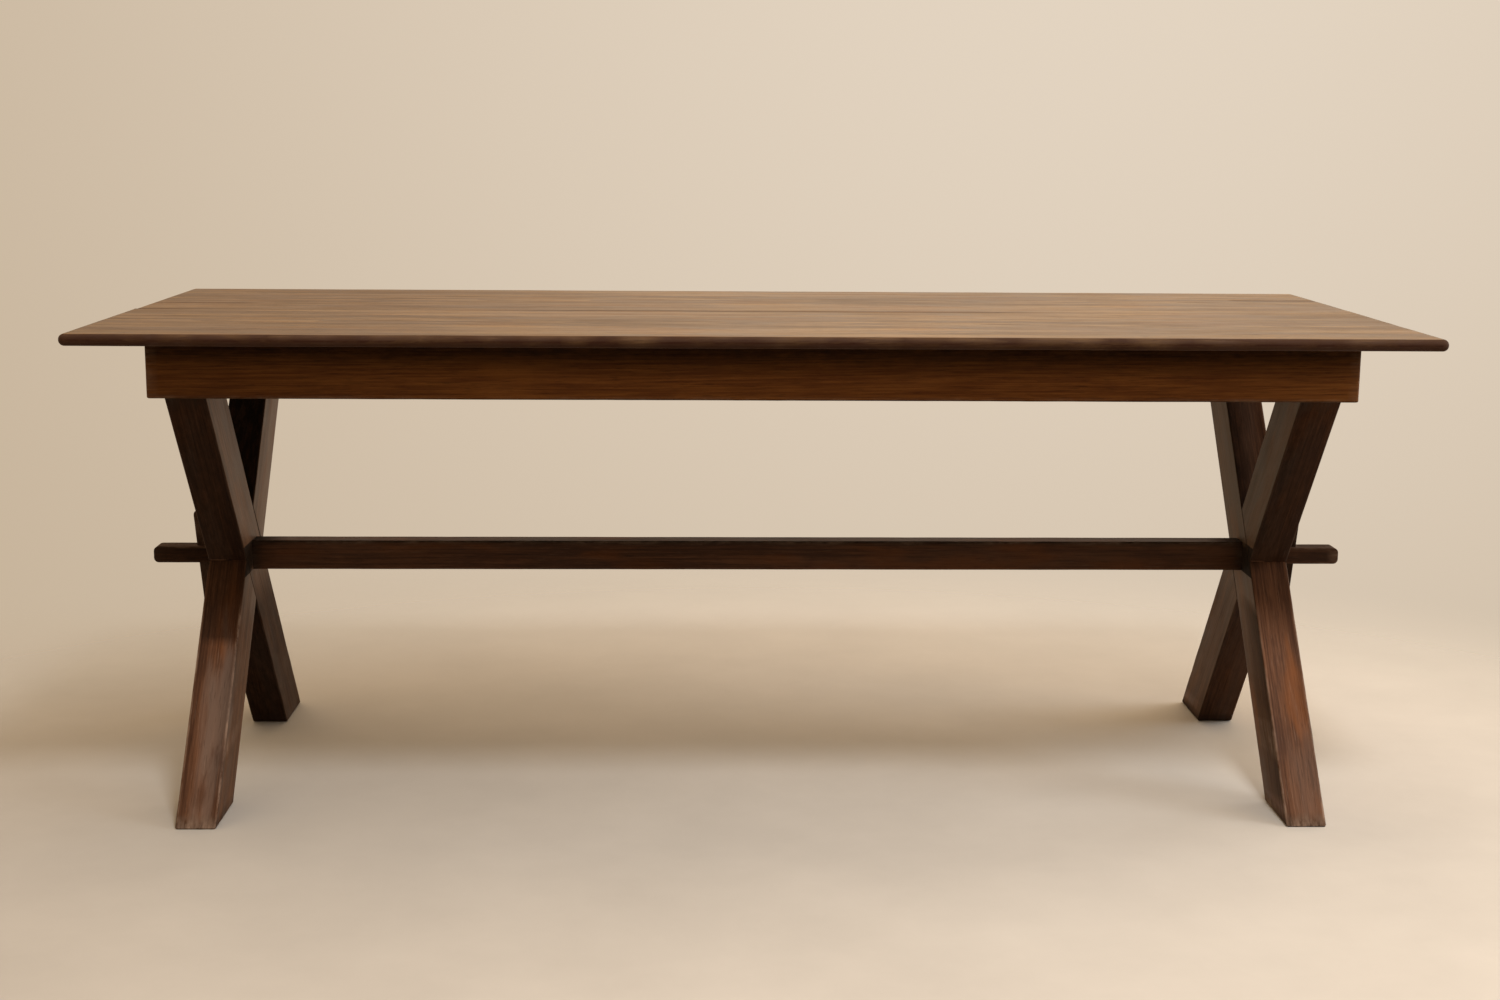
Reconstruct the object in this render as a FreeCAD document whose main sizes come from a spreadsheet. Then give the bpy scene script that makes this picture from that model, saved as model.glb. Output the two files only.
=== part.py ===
import FreeCAD, Part
import math
import os
import re
import Sketcher

# A sawbuck table in millimetres: a two-board top on an apron frame, carried by two crossed-leg
# trestles that one long stretcher ties together. Tapered wedges through the stretcher's ends
# draw it tight. +Z is up, +X runs along the table, and the front is at -Y. The origin is on the
# floor, under the middle of the top. The pieces are drawn where they stand. One with a twin is
# drawn as the front or the left one, and the twin is the same piece turned half a turn about Z.
# The battens are drawn in the middle and then moved along the table.

DIMENSIONS = {
    "table_height": (760, "floor to the upper face of the top"),
    "top_length": (2010, "top, end to end"),
    "top_width": (820, "both boards of the top together"),
    "top_thickness": (18, "boards of the top"),
    "top_end_step": (3, "how much shorter the rear board is at its left end"),
    "top_corner_radius": (10, "corners of the top, seen from above"),
    "top_edge_radius": (8.5, "rounding of the outer edges of the top"),
    "spline_thickness": (6, "loose tongue in the seam of the top"),
    "spline_width": (19, "loose tongue, across the seam"),
    "spline_groove_depth": (10, "groove for the tongue in each board"),
    "spline_end_stop": (60, "grooves stop this far from the ends of the boards"),
    "spline_end_play": (2, "room at each end of the loose tongue"),
    "apron_length": (1815, "apron frame, end to end"),
    "apron_width": (620, "apron frame, front to back"),
    "apron_depth": (88, "apron boards, height"),
    "apron_thickness": (22, "apron boards"),
    "apron_end_radius": (5, "upright arrises at the ends of the long aprons"),
    "apron_arris_radius": (3, "lower outer arris of the aprons"),
    "tongue_thickness": (8, "tongues on the end aprons, housed in the long ones"),
    "tongue_length": (8, "tongues on the end aprons"),
    "button_groove_drop": (12, "underside of the top to the groove for the buttons"),
    "button_groove_height": (8, "groove for the buttons"),
    "button_groove_depth": (9, "groove for the buttons"),
    "trestle_inside": (820, "middle of the table to the inner face of each trestle"),
    "leg_thickness": (62, "legs, along the table"),
    "leg_half_width": (63, "legs, half their level width from front to back"),
    "leg_slope": (0.814, "how far a leg leans sideways for each unit that it rises"),
    "cross_height": (357, "floor to the crossing of the legs"),
    "foot_chamfer": (3, "lower edges of the feet"),
    "leg_tenon_thickness": (22, "tenon on top of each leg, along the table"),
    "leg_tenon_inner": (195, "middle of the table to the near side of a leg tenon"),
    "leg_tenon_outer": (273, "middle of the table to the far side of a leg tenon"),
    "leg_tenon_height": (60, "tenon on top of each leg"),
    "leg_mortise_play": (1, "room above each leg tenon"),
    "peg_diameter": (8, "draw-bore pegs through the leg tenons"),
    "peg_hole_play": (0.1, "peg holes are this much wider than the pegs"),
    "peg_inset": (0.5, "ends of the pegs below the faces of the bearers"),
    "peg_height": (30, "pegs above the lower face of the bearers"),
    "peg_first": (215, "middle of the table to the nearer peg of a pair"),
    "peg_second": (253, "middle of the table to the further peg of a pair"),
    "stretcher_width": (37, "stretcher, front to back"),
    "stretcher_height": (48, "stretcher"),
    "through_tenon_width": (35, "through tenons of the stretcher, front to back"),
    "through_tenon_height": (27, "through tenons of the stretcher"),
    "through_tenon_reach": (982, "middle of the table to the end of each through tenon"),
    "through_tenon_radius": (8, "upper and lower end arrises of the through tenons"),
    "wedge_thickness": (12, "wedges, front to back"),
    "wedge_side_play": (0.2, "room on each side of a wedge in its slot"),
    "wedge_width": (30, "wedges, along the table, at the height of the crossing"),
    "wedge_taper": (0.0875, "how much a wedge widens for each unit that it rises"),
    "wedge_bottom": (265, "floor to the narrow end of a seated wedge"),
    "wedge_top": (430, "floor to the wide end of a seated wedge"),
    "wedge_head_radius": (10, "outer corner of a wedge's wide end"),
    "wedge_arris_radius": (2, "other corners of a wedge"),
    "wedge_slot_recess": (6, "how far a wedge's slot starts inside the trestle"),
    "batten_pitch": (425, "spacing of the cross battens and of the buttons"),
    "batten_width": (60, "cross battens, along the table"),
    "batten_thickness": (24, "cross battens"),
    "batten_length": (560, "cross battens, front to back"),
    "batten_chamfer": (4, "lower edges of the cross battens"),
    "button_length": (40, "buttons, along the apron"),
    "button_thickness": (22, "buttons"),
    "button_reach": (27, "body of a button, away from the apron"),
    "button_gap": (1, "apron to the body of a button"),
    "button_tongue_length": (8, "tongue of a button"),
    "button_tongue_play": (0.2, "room above and below the tongue of a button"),
    "screw_diameter": (4.2, "wood screws"),
    "screw_head_diameter": (8.4, "heads of the wood screws"),
    "screw_bite": (11, "length of each screw in the top"),
    "screw_point": (5, "tapered point of each screw"),
    "screw_hole_play": (0.2, "screw holes are this much wider than the screws"),
    "screw_hole_bottom": (1, "screw holes are this much deeper than the screws"),
    "batten_screw_inner": (70, "middle of the table to the nearer screws of a batten"),
    "batten_screw_outer": (210, "middle of the table to the further screws of a batten"),
    "bearer_screw_inner": (60, "middle of the table to the nearer screws of a bearer"),
    "bearer_screw_outer": (140, "middle of the table to the further screws of a bearer"),
    "bearer_counterbore_depth": (60, "counterbores under the screws of the bearers"),
    "bearer_counterbore_diameter": (12, "counterbores under the screws of the bearers"),
}

# Heights and places that several pieces share, as formulas of the dimensions.
UNDER_TOP = "(table_height - top_thickness)"
UNDER_APRON = "(table_height - top_thickness - apron_depth)"
APRON_INSIDE = "(apron_width / 2 - apron_thickness)"
TRESTLE_OUTSIDE = "(trestle_inside + leg_thickness)"
TRESTLE_MIDDLE = "(trestle_inside + leg_thickness / 2)"
SCREW_HOLE = "(screw_diameter + screw_hole_play)"
BUTTON_MIDDLE = f"({APRON_INSIDE} - button_gap - button_reach / 2)"
BUTTON_PLACES = ("-1.5 * batten_pitch", "-0.5 * batten_pitch", "0.5 * batten_pitch", "1.5 * batten_pitch")
BATTEN_PLACES = {"batten_left": "-batten_pitch", "batten_middle": "0", "batten_right": "batten_pitch"}

# How far, in millimetres, an edge may lie from where it is looked for.
SLACK = 0.01
# Sketches are drawn at this size, and their formulas then give them the real one.
FIRST_SIZE = 1.0
# A pocket or hole that takes away fewer cubic millimetres than this has missed its body.
LEAST_CUT = 1

HALF_TURN = FreeCAD.Rotation(FreeCAD.Vector(0, 0, 1), 180)
NO_TURN = FreeCAD.Rotation()

doc = FreeCAD.newDocument("sawbuck_table")
sheet = doc.addObject("Spreadsheet::Sheet", "Sizes")
parts = []


def fill_sheet():
    """One row for each dimension: what it is, and its value under its alias."""
    for row, (alias, (value, meaning)) in enumerate(DIMENSIONS.items(), start=1):
        sheet.set(f"A{row}", meaning)
        sheet.set(f"B{row}", str(value))
        sheet.setAlias(f"B{row}", alias)
    doc.recompute()


def size(alias):
    """The value of one dimension, read back from the sheet."""
    return float(sheet.get(alias))


def formula(text):
    """The same formula with the sheet's name before each dimension."""
    return re.sub(r"[a-z]+(_[a-z]+)+", lambda word: "Sizes." + word.group(0), text)


def bind(feature, **formulas):
    """Binds properties of a feature to formulas of the dimensions."""
    for name, text in formulas.items():
        feature.setExpression(name, formula(text))


def new_body(label, rotation=NO_TURN):
    """An empty body that will be written as one sub-part."""
    body = doc.addObject("PartDesign::Body", label)
    body.Label = label
    body.AllowCompound = True
    body.Placement = FreeCAD.Placement(FreeCAD.Vector(0, 0, 0), rotation)
    parts.append(body)
    return body


def new_sketch(body, name, plane, across="0", out="0"):
    """An empty sketch on one of the body's own origin planes, moved along that plane and out of it."""
    sketch = body.newObject("Sketcher::SketchObject", f"{body.Label}_{name}")
    origin_plane = next(item for item in body.Origin.OriginFeatures if item.Role == plane)
    sketch.AttachmentSupport = [(origin_plane, "")]
    sketch.MapMode = "FlatFace"
    sketch.setExpression("AttachmentOffset.Base.x", formula(across))
    sketch.setExpression("AttachmentOffset.Base.z", formula(out))
    return sketch


def fix_point(sketch, geometry, point, x, y):
    """Holds a point of the sketch at two formulas from the sketch's origin."""
    for kind, text in (("DistanceX", x), ("DistanceY", y)):
        index = sketch.addConstraint(Sketcher.Constraint(kind, -1, 1, geometry, point, FIRST_SIZE))
        sketch.setExpression(f"Constraints[{index}]", formula(text))


def add_outline(sketch, corners):
    """A closed outline of straight lines whose corners are pairs of formulas."""
    count = len(corners)
    first = sketch.GeometryCount
    turns = [2 * math.pi * number / count for number in range(count)]
    points = [FreeCAD.Vector(math.cos(turn), math.sin(turn), 0) for turn in turns]
    for number in range(count):
        sketch.addGeometry(Part.LineSegment(points[number], points[(number + 1) % count]))
    for number, (x, y) in enumerate(corners):
        before = first + (number - 1) % count
        sketch.addConstraint(Sketcher.Constraint("Coincident", before, 2, first + number, 1))
        fix_point(sketch, first + number, 1, x, y)


def add_rectangle(sketch, left, right, bottom, top):
    """A rectangle between four formulas."""
    add_outline(sketch, [(left, bottom), (right, bottom), (right, top), (left, top)])


def add_circle(sketch, x, y, diameter):
    """A circle about a point that is a pair of formulas."""
    centre = FreeCAD.Vector(FIRST_SIZE, FIRST_SIZE, 0)
    circle = sketch.addGeometry(Part.Circle(centre, FreeCAD.Vector(0, 0, 1), FIRST_SIZE / 2))
    fix_point(sketch, circle, 3, x, y)
    index = sketch.addConstraint(Sketcher.Constraint("Diameter", circle, FIRST_SIZE))
    sketch.setExpression(f"Constraints[{index}]", formula(diameter))


def extrude(body, kind, sketch, length, along=True, both_ways=False):
    """A pad or pocket of the given length, along the sketch's normal or against it."""
    feature = body.newObject(f"PartDesign::{kind}", sketch.Name + "_" + kind.lower())
    feature.Profile = sketch
    feature.SideType = "Symmetric" if both_ways else "One side"
    # A pocket runs against the normal unless it is reversed, and a pad along it.
    feature.Reversed = along if kind == "Pocket" else not along
    bind(feature, Length=length)
    return feature


def box_body(label, rotation, left, right, front, back, bottom, height):
    """A body that starts as one block, drawn in plan and padded upwards."""
    body = new_body(label, rotation)
    plan = new_sketch(body, "plan", "XY_Plane", out=bottom)
    add_rectangle(plan, left, right, front, back)
    extrude(body, "Pad", plan, height)
    return body


def dress(body, kind, name, amount, wanted):
    """A fillet or chamfer of every edge of the body's last shape that the test accepts."""
    doc.recompute()
    base = body.Tip
    edges = [f"Edge{number}" for number, edge in enumerate(base.Shape.Edges, start=1) if wanted(edge)]
    if not edges:
        raise RuntimeError(f"{body.Label} has no edges for {name}")
    feature = body.newObject(f"PartDesign::{kind}", f"{body.Label}_{name}")
    feature.Base = (base, edges)
    bind(feature, **{"Radius" if kind == "Fillet" else "Size": amount})
    return feature


def within(edge, low, high):
    """Whether an edge lies in a box, which may be open to either side where a limit is None."""
    box = edge.BoundBox
    reach = ((box.XMin, box.XMax), (box.YMin, box.YMax), (box.ZMin, box.ZMax))
    for (least, most), lowest, highest in zip(reach, low, high):
        if lowest is not None and least < lowest - SLACK:
            return False
        if highest is not None and most > highest + SLACK:
            return False
    return True


def is_upright(edge):
    """Whether an edge is straight and runs along Z."""
    return edge.BoundBox.XLength + edge.BoundBox.YLength < SLACK


def is_crosswise(edge):
    """Whether an edge is straight and runs along Y."""
    return edge.BoundBox.XLength + edge.BoundBox.ZLength < SLACK


def copy_along_and_across(body, originals, step, count):
    """Copies features in equal steps along the table, and mirrors the row from front to rear."""
    pattern = body.newObject("PartDesign::MultiTransform", f"{body.Label}_copies")
    row = doc.addObject("PartDesign::LinearPattern", f"{body.Label}_row")
    mirror = doc.addObject("PartDesign::Mirrored", f"{body.Label}_mirror")
    datums = {item.Role: item for item in body.Origin.OriginFeatures}
    pattern.Originals = originals
    row.Direction = (datums["X_Axis"], [""])
    row.Mode = "Spacing"
    row.Occurrences = count
    bind(row, Offset=step)
    mirror.MirrorPlane = (datums["XZ_Plane"], [""])
    pattern.Transformations = [row, mirror]
    body.Tip = pattern


def countersunk_holes(body, height, centres, depth):
    """Clearance holes for screws, bored upwards from a height, with seats for their heads."""
    sketch = new_sketch(body, "screw_holes", "XY_Plane", out=height)
    for x, y in centres:
        add_circle(sketch, x, y, SCREW_HOLE)
    doc.recompute()
    hole = body.newObject("PartDesign::Hole", f"{body.Label}_screw_hole")
    hole.Profile = sketch
    hole.DepthType = "Dimension"
    hole.DrillPoint = "Flat"
    hole.Reversed = True
    hole.HoleCutType = "Countersink"
    hole.HoleCutCountersinkAngle = 90
    bind(hole, Diameter=SCREW_HOLE, HoleCutDiameter="screw_head_diameter", Depth=depth)
    return hole


def top_board(label, rotation, right_end):
    """One board of the top: its seam is at y = 0, and its other edges are fully rounded."""
    left_end = "-top_length / 2"
    body = box_body(
        label, rotation, left_end, right_end, "-top_width / 2", "0", UNDER_TOP, "top_thickness"
    )
    outer_edge = -size("top_width") / 2
    dress(
        body, "Fillet", "corners", "top_corner_radius",
        lambda edge: within(edge, (None, None, None), (None, outer_edge, None)) and is_upright(edge),
    )
    dress(
        body, "Fillet", "round_edge", "top_edge_radius",
        lambda edge: not is_upright(edge) and not within(edge, (None, 0, None), (None, 0, None)),
    )

    groove = new_sketch(body, "spline_groove", "XZ_Plane")
    add_rectangle(
        groove,
        "spline_end_stop - top_length / 2",
        f"{right_end} - spline_end_stop",
        f"{UNDER_TOP} + (top_thickness - spline_thickness) / 2",
        f"{UNDER_TOP} + (top_thickness + spline_thickness) / 2",
    )
    extrude(body, "Pocket", groove, "spline_groove_depth")

    pilots = new_sketch(body, "pilot_holes", "XY_Plane", out=UNDER_TOP)
    for place in BATTEN_PLACES.values():
        for offset in ("batten_screw_inner", "batten_screw_outer"):
            add_circle(pilots, place, f"-{offset}", SCREW_HOLE)
    for side in ("-1", "1"):
        for offset in ("bearer_screw_inner", "bearer_screw_outer"):
            add_circle(pilots, f"{side} * {TRESTLE_MIDDLE}", f"-{offset}", SCREW_HOLE)
    for place in BUTTON_PLACES:
        add_circle(pilots, place, f"-{BUTTON_MIDDLE}", SCREW_HOLE)
    extrude(body, "Pocket", pilots, "screw_bite + screw_hole_bottom")


def top_spline():
    """The loose tongue in the seam, a little narrower and shorter than its two grooves."""
    half_length = "(top_length / 2 - spline_end_stop - spline_end_play)"
    box_body(
        "top_spline", NO_TURN,
        f"top_end_step - {half_length}", half_length,
        "-spline_width / 2", "spline_width / 2",
        f"{UNDER_TOP} + (top_thickness - spline_thickness) / 2", "spline_thickness",
    )


def long_apron(label, rotation):
    """A long board of the frame, with housings for the end boards and a groove for the buttons."""
    body = box_body(
        label, rotation,
        "-apron_length / 2", "apron_length / 2",
        "-apron_width / 2", f"-{APRON_INSIDE}",
        UNDER_APRON, "apron_depth",
    )
    front = -size("apron_width") / 2
    bottom = size("table_height") - size("top_thickness") - size("apron_depth")
    dress(
        body, "Fillet", "end_arrises", "apron_end_radius",
        lambda edge: is_upright(edge) and within(edge, (None, None, None), (None, front, None)),
    )
    rounded_to = front + size("apron_end_radius")
    dress(
        body, "Fillet", "lower_arris", "apron_arris_radius",
        lambda edge: within(edge, (None, None, None), (None, rounded_to, bottom)),
    )

    housings = new_sketch(body, "housings", "XY_Plane", out=UNDER_APRON)
    tongue_outside = "(apron_length / 2 - (apron_thickness - tongue_thickness) / 2)"
    for side in ("-1", "1"):
        add_rectangle(
            housings,
            f"{side} * {tongue_outside}",
            f"{side} * ({tongue_outside} - tongue_thickness)",
            f"-{APRON_INSIDE} - tongue_length",
            f"-{APRON_INSIDE}",
        )
    extrude(body, "Pocket", housings, "apron_depth")

    groove = new_sketch(body, "button_groove", "XZ_Plane", out=APRON_INSIDE)
    groove_top = f"({UNDER_TOP} - button_groove_drop)"
    add_rectangle(
        groove, "-trestle_inside", "trestle_inside", f"{groove_top} - button_groove_height", groove_top
    )
    extrude(body, "Pocket", groove, "button_groove_depth")


def end_apron(label, rotation):
    """An end board of the frame, with a tongue at each end for the housings in the long ones."""
    body = box_body(
        label, rotation,
        "-apron_length / 2", "apron_thickness - apron_length / 2",
        f"-{APRON_INSIDE}", APRON_INSIDE,
        UNDER_APRON, "apron_depth",
    )
    outside = -size("apron_length") / 2
    bottom = size("table_height") - size("top_thickness") - size("apron_depth")
    dress(
        body, "Fillet", "lower_arris", "apron_arris_radius",
        lambda edge: within(edge, (None, None, None), (outside, None, bottom)),
    )
    tongues = new_sketch(body, "tongues", "XY_Plane", out=UNDER_APRON)
    tongue_outside = "((apron_thickness - tongue_thickness) / 2 - apron_length / 2)"
    add_rectangle(
        tongues,
        tongue_outside, f"{tongue_outside} + tongue_thickness",
        f"-{APRON_INSIDE} - tongue_length", f"{APRON_INSIDE} + tongue_length",
    )
    extrude(body, "Pad", tongues, "apron_depth")


def add_leg_tenon_plan(sketch, side):
    """The plan of a leg tenon, at the rear (side 1) or the front (side -1)."""
    add_rectangle(
        sketch,
        f"-{TRESTLE_MIDDLE} - leg_tenon_thickness / 2",
        f"-{TRESTLE_MIDDLE} + leg_tenon_thickness / 2",
        f"{side} * leg_tenon_inner",
        f"{side} * leg_tenon_outer",
    )


def add_peg_circles(sketch, side, diameter):
    """The two pegs of one leg tenon, seen along the table."""
    for offset in ("peg_first", "peg_second"):
        add_circle(sketch, f"{side} * {offset}", f"{UNDER_APRON} + peg_height", diameter)


def bearer(label, rotation):
    """The rail that joins the tops of two legs and is screwed up into the top."""
    body = box_body(
        label, rotation,
        f"-{TRESTLE_OUTSIDE}", "-trestle_inside",
        f"-{APRON_INSIDE}", APRON_INSIDE,
        UNDER_APRON, "apron_depth",
    )
    mortises = new_sketch(body, "mortises", "XY_Plane", out=UNDER_APRON)
    for side in (-1, 1):
        add_leg_tenon_plan(mortises, side)
    extrude(body, "Pocket", mortises, "leg_tenon_height + leg_mortise_play")

    peg_holes = new_sketch(body, "peg_holes", "YZ_Plane", out=f"-{TRESTLE_OUTSIDE}")
    for side in (-1, 1):
        add_peg_circles(peg_holes, side, "peg_diameter + peg_hole_play")
    extrude(body, "Pocket", peg_holes, "leg_thickness")

    offsets = ("bearer_screw_inner", "bearer_screw_outer")
    centres = [(f"-{TRESTLE_MIDDLE}", f"{side} * {offset}") for side in (-1, 1) for offset in offsets]
    counterbores = new_sketch(body, "counterbores", "XY_Plane", out=UNDER_APRON)
    for x, y in centres:
        add_circle(counterbores, x, y, "bearer_counterbore_diameter")
    extrude(body, "Pocket", counterbores, "bearer_counterbore_depth")
    countersunk_holes(
        body, f"({UNDER_APRON} + bearer_counterbore_depth)", centres,
        "apron_depth - bearer_counterbore_depth",
    )


def leg(label, rotation, lean, full_face):
    """A leg of a trestle. It leans to the rear as it rises if lean is 1, and to the front if it
    is -1. Where the legs cross, half of its thickness is cut away, so that its full_face, the
    inner or the outer one, runs through."""
    body = new_body(label, rotation)
    profile = new_sketch(body, "profile", "YZ_Plane", out=f"-{TRESTLE_OUTSIDE}")
    foot = f"{-lean} * leg_slope * cross_height"
    head = f"{lean} * leg_slope * ({UNDER_APRON} - cross_height)"
    add_outline(profile, [
        (f"{foot} - leg_half_width", "0"),
        (f"{foot} + leg_half_width", "0"),
        (f"{head} + leg_half_width", UNDER_APRON),
        (f"{head} - leg_half_width", UNDER_APRON),
    ])
    extrude(body, "Pad", profile, "leg_thickness")
    dress(
        body, "Chamfer", "foot", "foot_chamfer",
        lambda edge: within(edge, (None, None, None), (None, None, 0)),
    )

    tenon = new_sketch(body, "tenon", "XY_Plane", out=UNDER_APRON)
    add_leg_tenon_plan(tenon, lean)
    extrude(body, "Pad", tenon, "leg_tenon_height")
    peg_holes = new_sketch(body, "peg_holes", "YZ_Plane", out=f"-{TRESTLE_OUTSIDE}")
    add_peg_circles(peg_holes, lean, "peg_diameter + peg_hole_play")
    extrude(body, "Pocket", peg_holes, "leg_thickness")

    lap = new_sketch(body, "lap", "YZ_Plane", out=f"-{TRESTLE_MIDDLE}")
    add_outline(lap, [
        ("leg_half_width", "cross_height"),
        ("0", "cross_height + leg_half_width / leg_slope"),
        ("-leg_half_width", "cross_height"),
        ("0", "cross_height - leg_half_width / leg_slope"),
    ])
    extrude(body, "Pocket", lap, "leg_thickness / 2", along=full_face == "outer")
    mortise = new_sketch(body, "mortise", "YZ_Plane", out=f"-{TRESTLE_OUTSIDE}")
    add_rectangle(
        mortise,
        "-through_tenon_width / 2", "through_tenon_width / 2",
        "cross_height - through_tenon_height / 2", "cross_height + through_tenon_height / 2",
    )
    extrude(body, "Pocket", mortise, "leg_thickness")


def wedge_face(height):
    """How far a wedge's sloping face is from the middle of the table, at a height."""
    return f"({TRESTLE_OUTSIDE} + wedge_width + wedge_taper * ({height} - cross_height))"


def stretcher():
    """The long rail, shouldered to a through tenon at each end with a tapered slot in it."""
    body = box_body(
        "stretcher", NO_TURN,
        "-trestle_inside", "trestle_inside",
        "-stretcher_width / 2", "stretcher_width / 2",
        "cross_height - stretcher_height / 2", "stretcher_height",
    )
    lower = "(cross_height - through_tenon_height / 2)"
    upper = "(cross_height + through_tenon_height / 2)"
    tenons = new_sketch(body, "tenons", "XY_Plane", out=lower)
    add_rectangle(
        tenons,
        "-through_tenon_reach", "through_tenon_reach",
        "-through_tenon_width / 2", "through_tenon_width / 2",
    )
    extrude(body, "Pad", tenons, "through_tenon_height")
    reach = size("through_tenon_reach")
    dress(
        body, "Fillet", "tenon_ends", "through_tenon_radius",
        lambda edge: is_crosswise(edge) and abs(edge.CenterOfMass.x) > reach - SLACK,
    )
    slots = new_sketch(body, "wedge_slots", "XZ_Plane")
    slot_start = f"({TRESTLE_OUTSIDE} - wedge_slot_recess)"
    for side in ("-1", "1"):
        add_outline(slots, [
            (f"{side} * {slot_start}", lower),
            (f"{side} * {wedge_face(lower)}", lower),
            (f"{side} * {wedge_face(upper)}", upper),
            (f"{side} * {slot_start}", upper),
        ])
    extrude(body, "Pocket", slots, "wedge_thickness + 2 * wedge_side_play", both_ways=True)


def wedge(label, rotation):
    """A tapered key: one face stands upright on the trestle, the other one slopes."""
    body = new_body(label, rotation)
    profile = new_sketch(body, "profile", "XZ_Plane")
    add_outline(profile, [
        (f"-{TRESTLE_OUTSIDE}", "wedge_bottom"),
        (f"-{TRESTLE_OUTSIDE}", "wedge_top"),
        (f"-{wedge_face('wedge_top')}", "wedge_top"),
        (f"-{wedge_face('wedge_bottom')}", "wedge_bottom"),
    ])
    extrude(body, "Pad", profile, "wedge_thickness", both_ways=True)
    outside = -size("trestle_inside") - size("leg_thickness")
    top = size("wedge_top")
    head_start = top - 2 * size("wedge_head_radius")
    sloping_half = (outside - size("wedge_width") / 2, None, None)
    dress(
        body, "Fillet", "head", "wedge_head_radius",
        lambda edge: is_crosswise(edge) and within(edge, (None, None, top), sloping_half),
    )
    dress(
        body, "Fillet", "arrises", "wedge_arris_radius",
        lambda edge: is_crosswise(edge) and not within(edge, (None, None, head_start), sloping_half),
    )


def batten(label, place):
    """A cross batten under the top, chamfered below, with four countersunk screw holes."""
    body = new_body(label)
    bind(body, **{"Placement.Base.x": place})
    plan = new_sketch(body, "plan", "XY_Plane", out=f"{UNDER_TOP} - batten_thickness")
    add_rectangle(plan, "-batten_width / 2", "batten_width / 2", "-batten_length / 2", "batten_length / 2")
    extrude(body, "Pad", plan, "batten_thickness")
    bottom = size("table_height") - size("top_thickness") - size("batten_thickness")
    dress(
        body, "Chamfer", "lower_edges", "batten_chamfer",
        lambda edge: within(edge, (None, None, None), (None, None, bottom)),
    )
    offsets = ("batten_screw_inner", "batten_screw_outer")
    centres = [("0", f"{side} * {offset}") for side in (-1, 1) for offset in offsets]
    countersunk_holes(body, f"{UNDER_TOP} - batten_thickness", centres, "batten_thickness")


def bearer_pegs():
    """Eight pegs, two through each leg tenon."""
    body = new_body("bearer_pegs")
    ends = new_sketch(body, "ends", "YZ_Plane", out=f"peg_inset - {TRESTLE_OUTSIDE}")
    for side in (-1, 1):
        add_peg_circles(ends, side, "peg_diameter")
    row = extrude(body, "Pad", ends, "leg_thickness - 2 * peg_inset")
    mirror = body.newObject("PartDesign::Mirrored", "bearer_pegs_mirror")
    mirror.Originals = [row]
    origin_plane = next(item for item in body.Origin.OriginFeatures if item.Role == "YZ_Plane")
    mirror.MirrorPlane = (origin_plane, [""])
    body.Tip = mirror


def top_buttons():
    """Eight buttons: each has a tongue in the apron's groove and is screwed up to the top."""
    body = new_body("top_buttons")
    near = f"-({APRON_INSIDE} - button_gap)"
    far = f"-({APRON_INSIDE} - button_gap - button_reach)"
    tip = f"-({APRON_INSIDE} - button_gap + button_tongue_length)"
    bottom = f"({UNDER_TOP} - button_thickness)"
    tongue_top = f"({UNDER_TOP} - button_groove_drop - button_tongue_play)"
    tongue_bottom = f"({UNDER_TOP} - button_groove_drop - button_groove_height + button_tongue_play)"
    profile = new_sketch(body, "profile", "YZ_Plane", out=BUTTON_PLACES[0])
    add_outline(profile, [
        (near, bottom),
        (far, bottom),
        (far, UNDER_TOP),
        (near, UNDER_TOP),
        (near, tongue_top),
        (tip, tongue_top),
        (tip, tongue_bottom),
        (near, tongue_bottom),
    ])
    block = extrude(body, "Pad", profile, "button_length", both_ways=True)
    centre = (BUTTON_PLACES[0], f"-{BUTTON_MIDDLE}")
    hole = countersunk_holes(body, bottom, [centre], "button_thickness")
    copy_along_and_across(body, [block, hole], "batten_pitch", len(BUTTON_PLACES))


def screws(label, head_height, first_place, offsets, step, count):
    """Countersunk wood screws, heads down, in rows along the table, with the rows mirrored."""
    body = new_body(label)
    neck = f"{head_height} + (screw_head_diameter - screw_diameter) / 2"
    tip = f"{UNDER_TOP} + screw_bite"
    originals = []
    for number, offset in enumerate(offsets, start=1):
        profile = new_sketch(body, f"profile_{number}", "XZ_Plane", across=first_place, out=offset)
        add_outline(profile, [
            ("0", head_height),
            ("screw_head_diameter / 2", head_height),
            ("screw_diameter / 2", neck),
            ("screw_diameter / 2", f"{tip} - screw_point"),
            ("0", tip),
        ])
        turned = body.newObject("PartDesign::Revolution", f"{label}_turned_{number}")
        turned.Profile = profile
        turned.ReferenceAxis = (profile, ["V_Axis"])
        turned.Angle = 360
        originals.append(turned)
    copy_along_and_across(body, originals, step, count)


def check_document():
    """Stops if anything failed to rebuild, or if a cut took nothing away."""
    for item in doc.Objects:
        if "Invalid" in item.State or "Error" in item.State:
            raise RuntimeError(f"{item.Label} did not rebuild: {item.State}")
        if item.TypeId in ("PartDesign::Pocket", "PartDesign::Hole"):
            cut = item.BaseFeature.Shape.Volume - item.Shape.Volume
            if cut < LEAST_CUT:
                raise RuntimeError(f"{item.Label} cuts nothing")
    for body in parts:
        if body.Shape.isNull() or not body.Shape.isValid():
            raise RuntimeError(f"{body.Label} has no valid shape")


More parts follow.
